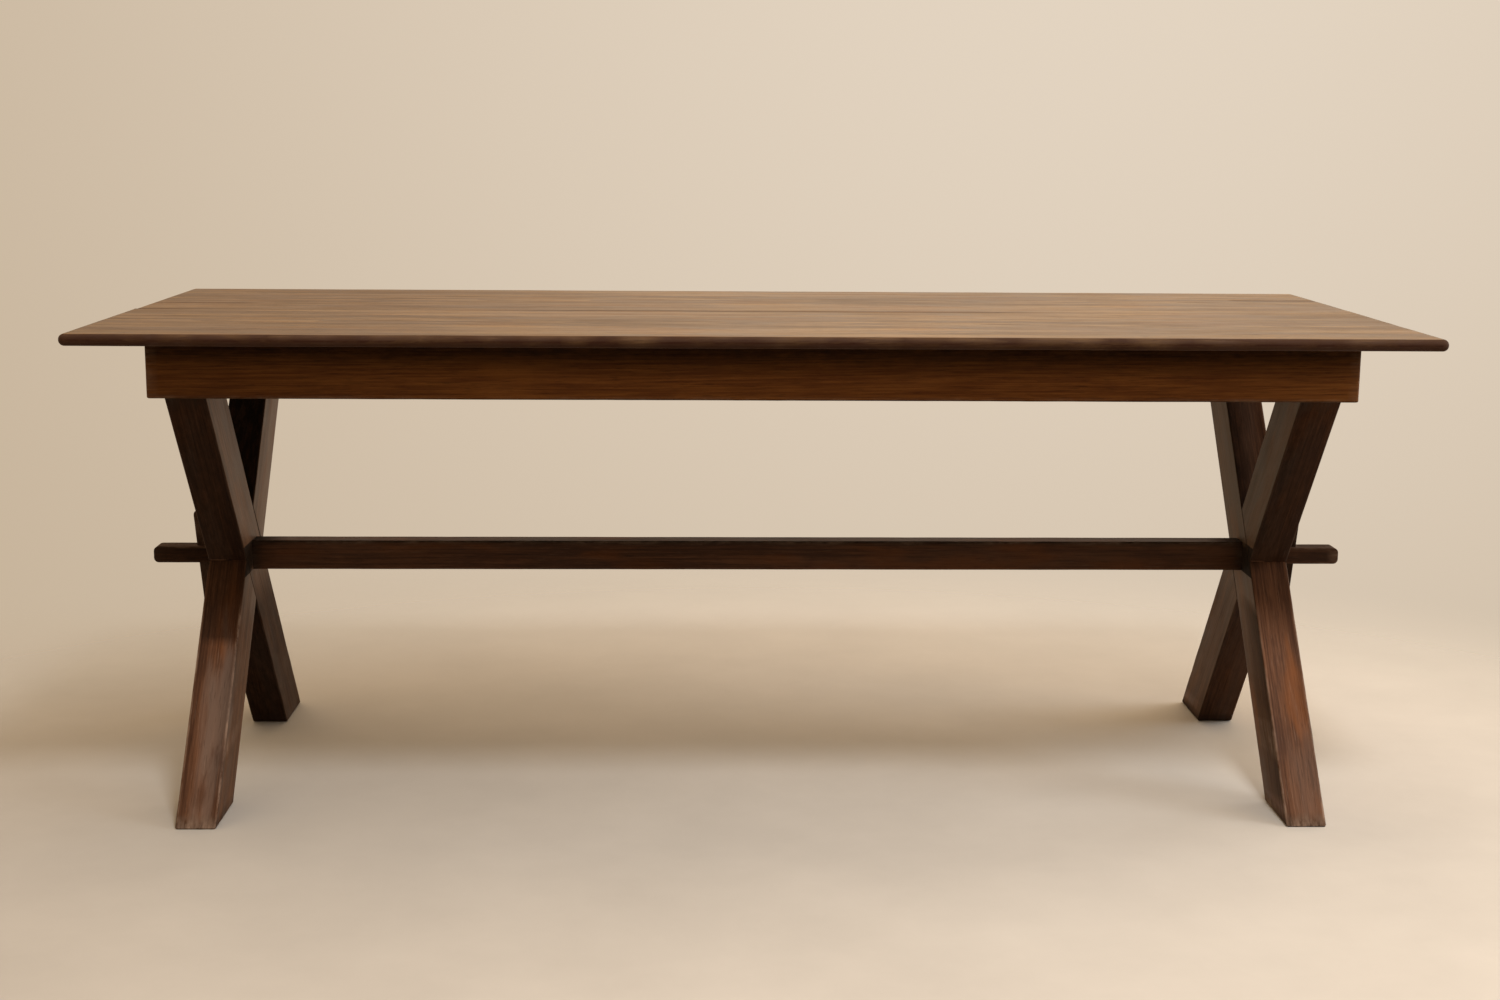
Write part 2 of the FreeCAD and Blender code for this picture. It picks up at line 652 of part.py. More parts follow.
fill_sheet()
top_board("top_board_front", NO_TURN, "top_length / 2")
top_board("top_board_rear", HALF_TURN, "top_length / 2 - top_end_step")
top_spline()
for side, rotation in (("left", NO_TURN), ("right", HALF_TURN)):
    end_apron(f"apron_{side}", rotation)
    bearer(f"bearer_{side}", rotation)
    wedge(f"{side}_wedge", rotation)
long_apron("apron_front", NO_TURN)
long_apron("apron_rear", HALF_TURN)
leg("left_leg_rear_foot", NO_TURN, -1, "inner")
leg("left_leg_front_foot", NO_TURN, 1, "outer")
leg("right_leg_front_foot", HALF_TURN, -1, "inner")
leg("right_leg_rear_foot", HALF_TURN, 1, "outer")
stretcher()
for label, place in BATTEN_PLACES.items():
    batten(label, place)
bearer_pegs()
top_buttons()
screws(
    "batten_screws", f"({UNDER_TOP} - batten_thickness)", BATTEN_PLACES["batten_left"],
    ("batten_screw_inner", "batten_screw_outer"), "batten_pitch", len(BATTEN_PLACES),
)
screws(
    "bearer_screws", f"({UNDER_APRON} + bearer_counterbore_depth)", f"-{TRESTLE_MIDDLE}",
    ("bearer_screw_inner", "bearer_screw_outer"), f"2 * {TRESTLE_MIDDLE}", 2,
)
screws(
    "button_screws", f"({UNDER_TOP} - button_thickness)", BUTTON_PLACES[0],
    (BUTTON_MIDDLE,), "batten_pitch", len(BUTTON_PLACES),
)
doc.recompute()
check_document()

os.makedirs("parts", exist_ok=True)
for body in parts:
    body.Shape.exportStep(f"parts/{body.Label}.step")
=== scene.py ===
import math

import bmesh
import bpy
from bpy.props import FloatProperty, FloatVectorProperty, PointerProperty
from mathutils import Matrix, Vector, noise


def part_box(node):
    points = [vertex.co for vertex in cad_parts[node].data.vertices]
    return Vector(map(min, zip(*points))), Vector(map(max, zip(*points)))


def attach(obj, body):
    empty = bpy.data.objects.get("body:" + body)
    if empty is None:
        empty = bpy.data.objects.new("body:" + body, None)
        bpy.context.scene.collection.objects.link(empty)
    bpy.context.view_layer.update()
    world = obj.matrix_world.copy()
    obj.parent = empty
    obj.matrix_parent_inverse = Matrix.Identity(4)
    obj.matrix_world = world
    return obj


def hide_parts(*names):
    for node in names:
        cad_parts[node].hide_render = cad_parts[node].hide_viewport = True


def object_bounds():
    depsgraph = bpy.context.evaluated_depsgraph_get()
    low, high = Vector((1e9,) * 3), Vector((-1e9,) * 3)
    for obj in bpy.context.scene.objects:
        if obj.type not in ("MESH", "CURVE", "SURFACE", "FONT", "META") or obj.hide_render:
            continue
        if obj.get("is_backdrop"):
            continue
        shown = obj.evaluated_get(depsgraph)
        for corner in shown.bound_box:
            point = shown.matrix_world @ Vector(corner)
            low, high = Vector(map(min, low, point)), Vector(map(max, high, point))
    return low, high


# A sawbuck table of dark stained, varnished timber, in metres: a two-board top on an apron frame,
# two crossed-leg trestles, one long stretcher and the two wedges that lock it. +X runs along the
# table, the front is at -Y, +Z is up, and the origin is on the floor under the middle of the top.

bl_info = {
    "name": "Sawbuck table",
    "version": (1, 0, 0),
    "blender": (4, 5, 0),
    "location": "3D View > Sidebar > Table",
    "description": "Builds the timbers, the fittings and the studio of a sawbuck table",
    "category": "Object",
}

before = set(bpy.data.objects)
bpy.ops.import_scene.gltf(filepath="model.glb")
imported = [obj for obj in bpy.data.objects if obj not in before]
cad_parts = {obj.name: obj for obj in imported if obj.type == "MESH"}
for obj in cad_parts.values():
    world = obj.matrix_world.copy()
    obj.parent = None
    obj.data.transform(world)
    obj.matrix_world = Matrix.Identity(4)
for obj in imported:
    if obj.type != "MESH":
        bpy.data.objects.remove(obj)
CAD_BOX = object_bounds()
MM = 0.001

# The Mix node has one set of sockets for each type of data: these are the ones for colours.
MIX_A = 6
MIX_B = 7
MIX_RESULT = 2

# The Wave texture turns once in every 2 pi / 20 units.
WAVE_TURN = math.tau / 20

# Slope of the legs, half their level width, and the height at which they cross, which is the
# middle of the stretcher.
LEG_SLOPE = 0.814
LEG_HALF_WIDTH = 63 * MM
CROSS_HEIGHT = (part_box("stretcher")[0][2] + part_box("stretcher")[1][2]) / 2

# The through tenons of the stretcher, which the mortises in the legs match.
TENON_HALF_WIDTH = 17.5 * MM
TENON_HALF_HEIGHT = 13.5 * MM

# The wedges stand on the outer faces of the trestles and widen as they rise.
TRESTLE_FACE = 882 * MM
WEDGE_WIDTH = 30 * MM
WEDGE_TAPER = 0.0875

# How far the top reaches from the middle of the table, along it and across it.
TOP_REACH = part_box("top_board_front")[1][0]
TOP_HALF_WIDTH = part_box("top_board_rear")[1][1]
TOP_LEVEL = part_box("top_board_rear")[1][2]

# A support row runs this far inside each arris, so that rounding and wear stay beside it.
SUPPORT = 4 * MM
TOLERANCE = 0.01 * MM

# How much of a direction lies along an axis: over MOSTLY for one that is nearer to it than to the
# others, over FACING for a face that looks that way, over ALONG for one that keeps to it, and
# under ACROSS for one that is square to it.
MOSTLY = 0.5
FACING = 0.7
ALONG = 0.9
ACROSS = 0.1

# Edges that turn by more than ARRIS_TURN are rubbed by wear and carry painted highlights. Those
# that turn by less than SMOOTH_TURN are shaded smooth.
ARRIS_TURN = math.radians(10)
SMOOTH_TURN = math.radians(40)

# How wear and the painted highlights come and go along an arris: their mean, how much they change
# slowly and quickly, and how deep the quick part cuts, as a share of the dips. The quick part is
# this many times as fast, and is read from another place in the noise.
WEAR_AND_HIGHLIGHT_MEAN = 0.75
WEAR_AND_HIGHLIGHT_SLOW = 0.9
WEAR_AND_HIGHLIGHT_QUICK = 0.6
WEAR_CUT = 1.6
QUICKER = 4
ELSEWHERE = Vector((7, 3, 5))


def linear(code):
    """The linear colour of an sRGB hex code."""
    channels = [int(code[start:start + 2], 16) / 255 for start in (0, 2, 4)]
    return [c / 12.92 if c <= 0.04045 else ((c + 0.055) / 1.055) ** 2.4 for c in channels]


def colour(name, description, code):
    """A colour that a user can change, with its default."""
    return FloatVectorProperty(
        name=name, description=description, subtype="COLOR", size=3, min=0, max=1, default=linear(code)
    )


def length(name, description, default):
    """A size that a user can change, with its default."""
    return FloatProperty(name=name, description=description, unit="LENGTH", min=0, default=default)


def power(name, description, default):
    """The power of a lamp that a user can change, with its default."""
    return FloatProperty(name=name, description=description, unit="POWER", default=default)


class TableSizes(bpy.types.PropertyGroup):
    """Sizes of the timbers' surfaces and of their grain."""

    arris: length("Arris", "Rounding of the long arrises", 2.2 * MM)
    dip: length("Dip", "How far hand-planed faces dip below true", 0.35 * MM)
    dip_pitch: length("Dip pitch", "Distance between the dips of a planed face", 90 * MM)
    station: length("Station", "Spacing of the rows of points across each timber", 20 * MM)
    ring: length("Ring", "Spacing of the growth rings", 6 * MM)
    key_power: power("Key", "Power of the key lamp", 92)
    overhead_power: power("Overhead", "Power of the overhead lamp", 30)
    side_power: power("Side", "Power of the side lamp", 36)
    window_power: power("Window", "Power of the far, cool lamp", 290)
    ambient: FloatProperty(
        name="Ambient", description="Strength of the light from all round", default=0.75
    )


class TableColours(bpy.types.PropertyGroup):
    """Colours of the finishes and of the studio."""

    top_light: colour("Top, light", "Light streaks of the top", "a8865f")
    top_dark: colour("Top, dark", "Dark streaks of the top", "705436")
    top_warm: colour("Top, warm", "Orange patches of the top", "9a6f42")
    apron_light: colour("Apron, light", "Light streaks of the aprons", "9a6533")
    apron_dark: colour("Apron, dark", "Dark streaks of the aprons", "643819")
    apron_warm: colour("Apron, warm", "Orange patches of the aprons", "9a632f")
    leg_light: colour("Leg, light", "Light streaks of the trestles", "8a5f45")
    leg_dark: colour("Leg, dark", "Dark streaks of the trestles", "4e3020")
    leg_warm: colour("Leg, warm", "Orange patches of the trestles", "94592e")
    inner_light: colour("Inner, light", "Light streaks of the timbers under the top", "8d6f4c")
    inner_dark: colour("Inner, dark", "Dark streaks of the timbers under the top", "5e4429")
    inner_warm: colour("Inner, warm", "Warm patches of the timbers under the top", "8f6838")
    # Bloom is hazy varnish, and with it a painted sheen for the lamps' reflection on the legs.
    bloom_and_sheen: colour("Bloom", "Old varnish that has gone hazy", "806b60")
    # Film is a painted cool sheen: a grey-green cast for the side light and the grazing reflection on
    # the faces that look along the table.
    cool_sheen: colour("Film", "Grey-green film on faces that were only wiped", "645f49")
    # Worn is the colour of wear, and also of painted highlights along some arrises.
    worn: colour("Worn", "Arrises where the stain is rubbed through", "a58a78")
    # Soot is also laid as painted shade where the legs lie in the top's shade.
    soot_and_shade: colour("Soot", "Old wax and dirt in the corners", "0e0703")
    # Polish is also laid as painted shade, low on the round edge and at the left end of the top.
    polish_and_shade: colour("Polish", "Dark polish that has built up on the edge of the top", "321405")
    steel: colour("Steel", "Wood screws", "8f8b84")
    floor: colour("Floor", "Floor of the studio", "d7d4d1")
    backdrop: colour("Backdrop", "Background of the studio where it is brightest", "e4d5c2")
    backdrop_edge: colour("Backdrop, edge", "Background away from its bright part", "c2ae94")
    room_light: colour("Room light", "Light from all round", "ffdaaa")
    lamp_light: colour("Lamp light", "Light of the near lamps", "fffdf8")
    window_light: colour("Window light", "Light of the far, cool lamp", "e8f1f6")


def node(tree, kind, inputs=None, **settings):
    """Adds one node with its settings, and gives its inputs a value or a link each."""
    made = tree.nodes.new(kind)
    for name, value in settings.items():
        setattr(made, name, value)
    for socket, value in (inputs or {}).items():
        if isinstance(value, bpy.types.NodeSocket):
            tree.links.new(value, made.inputs[socket])
        else:
            made.inputs[socket].default_value = value
    return made


def opaque(shade):
    """A colour with full alpha, for the sockets that want four channels."""
    return (*shade, 1)


def shown_rays(tree):
    """1 where a thing is seen, directly, in a gloss or through glass, and 0 where it only lights
    the others."""
    rays = node(tree, "ShaderNodeLightPath").outputs
    shown = rays["Is Camera Ray"]
    for kind in ("Is Glossy Ray", "Is Transmission Ray"):
        shown = node(tree, "ShaderNodeMath", {0: shown, 1: rays[kind]}, operation="ADD").outputs[0]
    return shown


def new_material(name):
    """An empty node material and its output node."""
    material = bpy.data.materials.new(name)
    material.use_nodes = True
    material.node_tree.nodes.clear()
    return material, node(material.node_tree, "ShaderNodeOutputMaterial")


# Grain patterns: length along the grain, width across it, detail and roughness of the noise. Real
# pores are 0.2 mm wide, too fine to show, so they are drawn 1.6 mm wide.
PATTERNS = {
    "band": (900 * MM, 70 * MM, 2, 0.5),
    "streak": (520 * MM, 26 * MM, 4, 0.6),
    "fibre": (110 * MM, 3 * MM, 4, 0.65),
    "pore": (28 * MM, 1.6 * MM, 2, 0.5),
    "mottle": (120 * MM, 30 * MM, 4, 0.6),
    "patch": (260 * MM, 60 * MM, 3, 0.55),
    "bloom_and_sheen": (420 * MM, 70 * MM, 3, 0.6),
    "scuff": (45 * MM, 2 * MM, 3, 0.6),
    "rub": (30 * MM, 9 * MM, 4, 0.7),
}
# The fibres wander sideways by some millimetres over cells of this length and width.
SWAY_CELL = (700 * MM, 120 * MM, 120 * MM)
# The growth rings keep their line over this many ring widths, bend by this much in waves of this
# scale, and darken this sharply to their late wood.
RING_STRETCH = 60
RING_BEND = 3
RING_BEND_SCALE = 0.6
RING_SHARPNESS = 3
# Between which values of its pattern the painted cool sheen, the dirt with painted shade and the
# wear with painted highlights break up, and the gloss changes.
RUB_RANGE = (0.35, 0.65)
GLOSS_RANGE = (0.3, 0.7)
# In the relief pores sink while fibres rise. Its strength is a half, as its distance sets it.
PORE_RELIEF = -0.5
RELIEF_STRENGTH = 0.5
# Dirt, and the painted shade stored with it, are dull whatever lies under them: how much they add
# to the roughness.
DARKENING_DULLS = 0.4
# Oil varnish bends light about as much as window glass does.
VARNISH_IOR = 1.5


def timber(name, stain, grain, pith, finish):
    """A stained and varnished timber, in the three colours of its stain. Its grain follows one
    direction round one pith, and the finish holds the amounts by which the patterns show and the
    gloss of the varnish."""
    ring = bpy.context.scene.table_sizes.ring
    colours = bpy.context.scene.table_colours
    light, dark, warm = (getattr(colours, f"{stain}_{part}") for part in ("light", "dark", "warm"))
    material, output = new_material(name)
    tree = material.node_tree
    place = node(tree, "ShaderNodeTexCoord").outputs["Object"]
    turn = Vector(grain).to_track_quat("X", "Z").to_euler()
    centred = node(
        tree, "ShaderNodeMapping",
        {"Vector": place, "Location": pith, "Rotation": turn}, vector_type="TEXTURE",
    ).outputs["Vector"]

    sway_cells = node(
        tree, "ShaderNodeMapping", {"Vector": centred, "Scale": SWAY_CELL}, vector_type="TEXTURE"
    ).outputs["Vector"]
    sway = node(
        tree, "ShaderNodeTexNoise", {"Vector": sway_cells, "Scale": 1, "Detail": 2}
    ).outputs["Color"]
    drift = node(
        tree, "ShaderNodeVectorMath", {0: sway, 1: (0.5, 0.5, 0.5)}, operation="SUBTRACT"
    ).outputs[0]
    wander = (0, finish["wander"], finish["wander"])
    swayed = node(
        tree, "ShaderNodeVectorMath", {0: drift, 1: wander, 2: centred}, operation="MULTIPLY_ADD"
    ).outputs[0]

    pattern = {}
    for label, (along, across, detail, roughness) in PATTERNS.items():
        cells = node(
            tree, "ShaderNodeMapping",
            {"Vector": swayed, "Scale": (along, across, across)}, vector_type="TEXTURE",
        ).outputs["Vector"]
        pattern[label] = node(
            tree, "ShaderNodeTexNoise",
            {"Vector": cells, "Scale": 1, "Detail": detail, "Roughness": roughness},
        ).outputs["Fac"]

    ring_cells = node(
        tree, "ShaderNodeMapping",
        {"Vector": swayed, "Scale": (ring * RING_STRETCH, ring, ring)}, vector_type="TEXTURE",
    ).outputs["Vector"]
    rings = node(
        tree, "ShaderNodeTexWave",
        {
            "Vector": ring_cells, "Scale": WAVE_TURN, "Distortion": RING_BEND, "Detail": 2,
            "Detail Scale": RING_BEND_SCALE,
        },
        wave_type="RINGS", rings_direction="X", wave_profile="SAW",
    ).outputs["Fac"]
    late = node(
        tree, "ShaderNodeMath", {0: rings, 1: RING_SHARPNESS}, operation="POWER"
    ).outputs[0]

    # Tone from dark to light: broad bands, streaks, rings and fibres, each with its share.
    tone = 0.0
    shares = [(pattern[label], share) for label, share in finish["shares"].items()]
    for part, share in [*shares, (late, -finish["ring"])]:
        tone = node(
            tree, "ShaderNodeMath", {0: part, 1: share, 2: tone}, operation="MULTIPLY_ADD"
        ).outputs[0]
    middle_tone = sum(finish["shares"].values()) / 2
    spread = finish["contrast"]
    tone = node(
        tree, "ShaderNodeMapRange",
        {"Value": tone, "From Min": middle_tone - spread, "From Max": middle_tone + spread},
        interpolation_type="SMOOTHSTEP",
    ).outputs["Result"]
    shade = node(
        tree, "ShaderNodeMix", {"Factor": tone, MIX_A: opaque(dark), MIX_B: opaque(light)},
        data_type="RGBA",
    ).outputs[MIX_RESULT]

    # Layers over the tone: pattern, where it starts and ends, how strong it is, and its colour.
    layers = []
    for label, start, end, strength, layer_colour in (
        ("patch", 0.50, 0.66, finish["warm"], warm),
        # Bloom: hazy varnish, and with it a painted sheen in pale mauve patches.
        ("bloom_and_sheen", 0.46, 0.62, finish["bloom_and_sheen"], colours.bloom_and_sheen),
        ("mottle", 0.50, 0.30, finish["mottle"], dark),
        ("pore", 0.58, 0.70, finish["pore"], colours.soot_and_shade),
        ("scuff", 0.60, 0.72, finish["scuff"], colours.worn),
    ):
        amount = node(
            tree, "ShaderNodeMapRange",
            {"Value": pattern[label], "From Min": start, "From Max": end, "To Max": strength},
            interpolation_type="SMOOTHSTEP",
        ).outputs["Result"]
        layers.append((amount, layer_colour))

    # A painted cool sheen, dirt with painted shade, and wear with painted highlights are stored on the
    # points of each piece, and the rub pattern breaks them up: how strong each is, how little and how
    # much of it the pattern leaves, and its colour.
    rub_start, rub_end = RUB_RANGE
    for label, strength, least, most, layer_colour in (
        ("filmed", 1.0, 0.9, 1.1, colours.cool_sheen),
        ("soiled", finish["soiled"], 0.9, 1.08, getattr(colours, finish["darkening"])),
        ("worn", finish["worn"], 0.0, 1.0, colours.worn),
    ):
        stored = node(tree, "ShaderNodeAttribute", attribute_name=label).outputs["Fac"]
        broken = node(
            tree, "ShaderNodeMapRange",
            {
                "Value": pattern["rub"], "From Min": rub_start, "From Max": rub_end,
                "To Min": least, "To Max": most,
            },
        ).outputs["Result"]
        amount = node(
            tree, "ShaderNodeMath", {0: stored, 1: broken}, operation="MULTIPLY", use_clamp=True
        ).outputs[0]
        amount = node(
            tree, "ShaderNodeMath", {0: amount, 1: strength}, operation="MULTIPLY"
        ).outputs[0]
        layers.append((amount, layer_colour))
    for amount, layer_colour in layers:
        shade = node(
            tree, "ShaderNodeMix", {"Factor": amount, MIX_A: shade, MIX_B: opaque(layer_colour)},
            data_type="RGBA",
        ).outputs[MIX_RESULT]

    gloss_start, gloss_end = GLOSS_RANGE
    gloss = node(
        tree, "ShaderNodeMapRange",
        {
            "Value": pattern["mottle"], "From Min": gloss_start, "From Max": gloss_end,
            "To Min": finish["smooth"], "To Max": finish["rough"],
        },
    ).outputs["Result"]
    height = node(
        tree, "ShaderNodeMath", {0: pattern["pore"], 1: PORE_RELIEF, 2: pattern["fibre"]},
        operation="MULTIPLY_ADD",
    ).outputs[0]
    relief = node(
        tree, "ShaderNodeBump",
        {"Height": height, "Strength": RELIEF_STRENGTH, "Distance": finish["relief"]},
    ).outputs["Normal"]
    darkening = node(tree, "ShaderNodeAttribute", attribute_name="soiled").outputs["Fac"]
    gloss = node(
        tree, "ShaderNodeMath", {0: darkening, 1: DARKENING_DULLS, 2: gloss},
        operation="MULTIPLY_ADD", use_clamp=True,
    ).outputs[0]
    shader = node(
        tree, "ShaderNodeBsdfPrincipled",
        {
            "Base Color": shade, "Roughness": gloss, "Normal": relief,
            "IOR": VARNISH_IOR, "Specular IOR Level": finish["specular"],
        },
    )
    tree.links.new(shader.outputs["BSDF"], output.inputs["Surface"])
    return material


# How much the broad bands, the streaks and the fibres each add to the tone of the timber.
LONG_GRAIN = {"band": 0.3, "streak": 0.45, "fibre": 0.35}
SHORT_GRAIN = {"band": 0.1, "streak": 0.25, "fibre": 0.75}
MIXED_GRAIN = {"band": 0.2, "streak": 0.35, "fibre": 0.5}

# Walnut-stained hardwood, wiped with oil varnish and rubbed back: a low satin sheen that turns
# pale where the light grazes it, over long streaks of brown.
RUBBED_VARNISH = {
    "shares": LONG_GRAIN, "wander": 12 * MM, "ring": 0.12, "contrast": 0.12, "warm": 0.3,
    "bloom_and_sheen": 0.2, "mottle": 0.45, "pore": 0.65, "scuff": 0.0, "darkening": "polish_and_shade", "soiled": 0.98,
    "worn": 0.2, "smooth": 0.30, "rough": 0.42, "relief": 0.25 * MM, "specular": 0.2,
}
# The same timber under brushed varnish, dull and a little hazy, with a painted sheen in the haze
# and fine scuffs along the grain.
BRUSHED_VARNISH = {
    "shares": MIXED_GRAIN, "wander": 10 * MM, "ring": 0.08, "contrast": 0.17, "warm": 0.35,
    "bloom_and_sheen": 0.5, "mottle": 0.6, "pore": 0.35, "scuff": 0.25, "darkening": "soot_and_shade", "soiled": 0.99,
    "worn": 0.8, "smooth": 0.40, "rough": 0.54, "relief": 0.25 * MM, "specular": 0.11,
}
# The aprons were rubbed down less: a fine short grain and a warmer brown.
APRON_VARNISH = {
    **BRUSHED_VARNISH, "shares": SHORT_GRAIN, "contrast": 0.22, "warm": 0.5, "bloom_and_sheen": 0.0,
    "mottle": 0.4, "scuff": 0.0,
}
# The stretcher is handled most, and its varnish has gone dull.
STRETCHER_VARNISH = {
    **BRUSHED_VARNISH, "warm": 0.55, "bloom_and_sheen": 0.1, "smooth": 0.5, "rough": 0.62, "specular": 0.2,
}
# Sawn and planed timber that never had more than a wash of stain: dull and pale.
BARE = {
    "shares": LONG_GRAIN, "wander": 20 * MM, "ring": 0.2, "contrast": 0.18, "warm": 0.4,
    "bloom_and_sheen": 0.1, "mottle": 0.3, "pore": 0.4, "scuff": 0.0, "darkening": "soot_and_shade", "soiled": 0.7,
    "worn": 0.3, "smooth": 0.62, "rough": 0.78, "relief": 0.35 * MM, "specular": 0.25,
}


# Size of the dull spots on the screws.
TARNISH_CELL = 3 * MM


def turned_steel():
    """Wood screws of bright turned steel that has dulled indoors: a soft, uneven gloss."""
    colours = bpy.context.scene.table_colours
    material, output = new_material("turned_steel")
    tree = material.node_tree
    place = node(tree, "ShaderNodeTexCoord").outputs["Object"]
    tarnish = node(
        tree, "ShaderNodeTexNoise", {"Vector": place, "Scale": 1 / TARNISH_CELL, "Detail": 3}
    ).outputs["Fac"]
    gloss = node(
        tree, "ShaderNodeMapRange",
        {"Value": tarnish, "From Min": 0.3, "From Max": 0.7, "To Min": 0.32, "To Max": 0.6},
    ).outputs["Result"]
    shader = node(
        tree, "ShaderNodeBsdfPrincipled",
        {"Base Color": opaque(colours.steel), "Roughness": gloss, "Metallic": 1},
    )
    tree.links.new(shader.outputs["BSDF"], output.inputs["Surface"])
    return material


def clamp(value, low=0, high=1):
    """The value, or the limit that it passes."""
    return min(high, max(low, value))


def way_from(value, ends):
    """How far a value has gone from the first of two ends, at 0, to the second, at 1."""
    start, end = ends
    return clamp((value - start) / (end - start))


def box_of(name):
    """The low and the high corner of a CAD part's box."""
    return [Vector(corner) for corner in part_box(name)]


def rows(low, high, pitch):
    """Places of evenly spaced rows between two ends, near the wanted pitch."""
    count = max(1, round((high - low) / pitch))
    return [low + (high - low) * step / count for step in range(1, count)]


def slice_across(bm, axis, places, faces=None):
    """Cuts the mesh, or only some of its faces, with planes square to an axis."""
    normal = Vector([float(axis == number) for number in range(3)])
    for place in places:
        cut_plane(bm, normal * place, normal, faces)


def cut_plane(bm, point, normal, faces=None):
    """Cuts the mesh, or only some of its faces, with one plane."""
    chosen = bm.faces[:] if faces is None else [face for face in bm.faces if faces(face)]
    # Each edge and point once, in the order found, so that every run gives the same mesh.
    edges = dict.fromkeys(edge for face in chosen for edge in face.edges)
    verts = dict.fromkeys(vert for face in chosen for vert in face.verts)
    bmesh.ops.bisect_plane(
        bm, geom=[*verts, *edges, *chosen], plane_co=point, plane_no=normal, dist=TOLERANCE / 10
    )


def push(bm, faces, move, hollow=True):
    """Extrudes faces by a vector. On a closed mesh the old faces go; on a sheet they close it."""
    moved = bmesh.ops.extrude_face_region(bm, geom=faces)["geom"]
    verts = [item for item in moved if isinstance(item, bmesh.types.BMVert)]
    bmesh.ops.translate(bm, vec=move, verts=verts)
    if hollow:
        bmesh.ops.delete(bm, geom=faces, context="FACES")


def bevel(bm, edges, radius, segments):
    """Rounds edges, or chamfers them when there is one segment."""
    bmesh.ops.bevel(
        bm, geom=edges, offset=radius, offset_type="OFFSET", segments=segments,
        profile=0.5, affect="EDGES", material=-1, clamp_overlap=True,
    )


def block(bm, low, high):
    """A rectangular block between two corners."""
    low, high = Vector(low), Vector(high)
    made = bmesh.ops.create_cube(bm, size=1)["verts"]
    bmesh.ops.scale(bm, vec=high - low, verts=made)
    bmesh.ops.translate(bm, vec=(low + high) / 2, verts=made)


def wedge_reach(level):
    """How far from the middle of the table a wedge's sloping side is at one level."""
    return TRESTLE_FACE + WEDGE_WIDTH + WEDGE_TAPER * (level - CROSS_HEIGHT)


def direction(edge):
    """The unit vector along an edge."""
    return (edge.verts[1].co - edge.verts[0].co).normalized()


def middle(item):
    """The middle of an edge or a face."""
    return sum((vert.co for vert in item.verts), Vector()) / len(item.verts)


def age(bm, dirt_and_shade_at, wear_and_highlight, fixed=None, cool_sheen_at=None):
    """Rubs the arrises, lets the planed faces dip, and stores on the points the wear with painted
    highlights, the dirt with painted shade, and the painted cool sheen. The fixed points stay where
    they are."""
    sizes = bpy.context.scene.table_sizes
    bmesh.ops.recalc_face_normals(bm, faces=bm.faces[:])
    worn = bm.verts.layers.float.new("worn")
    soiled = bm.verts.layers.float.new("soiled")
    filmed = bm.verts.layers.float.new("filmed")
    bm.normal_update()
    moves = []
    for vert in bm.verts:
        normals = [face.normal for face in vert.link_faces]
        spread = max(one.angle(other) for one in normals for other in normals)
        on_arris = spread > ARRIS_TURN
        slow = noise.noise(vert.co / sizes.dip_pitch)
        quick = noise.noise(vert.co / (sizes.dip_pitch / QUICKER) + ELSEWHERE)
        lightened = wear_and_highlight(vert) if callable(wear_and_highlight) else wear_and_highlight
        unevenly = clamp(WEAR_AND_HIGHLIGHT_MEAN + WEAR_AND_HIGHLIGHT_SLOW * slow + WEAR_AND_HIGHLIGHT_QUICK * quick)
        vert[worn] = lightened * unevenly if on_arris else 0
        vert[soiled] = dirt_and_shade_at(vert)
        vert[filmed] = cool_sheen_at(vert) if cool_sheen_at else 0
        depth = sizes.dip * (0.5 + 0.5 * slow)
        if on_arris:
            depth += lightened * sizes.dip * max(0, WEAR_CUT * quick)
        if fixed is None or not fixed(vert.co):
            moves.append((vert, vert.normal * depth))
    for vert, move in moves:
        vert.co -= move
    for face in bm.faces:
        face.smooth = True
    for edge in bm.edges:
        edge.smooth = len(edge.link_faces) == 2 and edge.calc_face_angle() < SMOOTH_TURN


def add_piece(bm, name, body, material, slot, *replaced):
    """Makes the object of a finished mesh and hands it to the frame."""
    mesh = bpy.data.meshes.new(name)
    bm.to_mesh(mesh)
    bm.free()
    mesh.materials.append(material)
    piece = bpy.data.objects.new(name, mesh)
    bpy.context.scene.collection.objects.link(piece)
    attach(piece, body)
    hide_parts(*replaced)


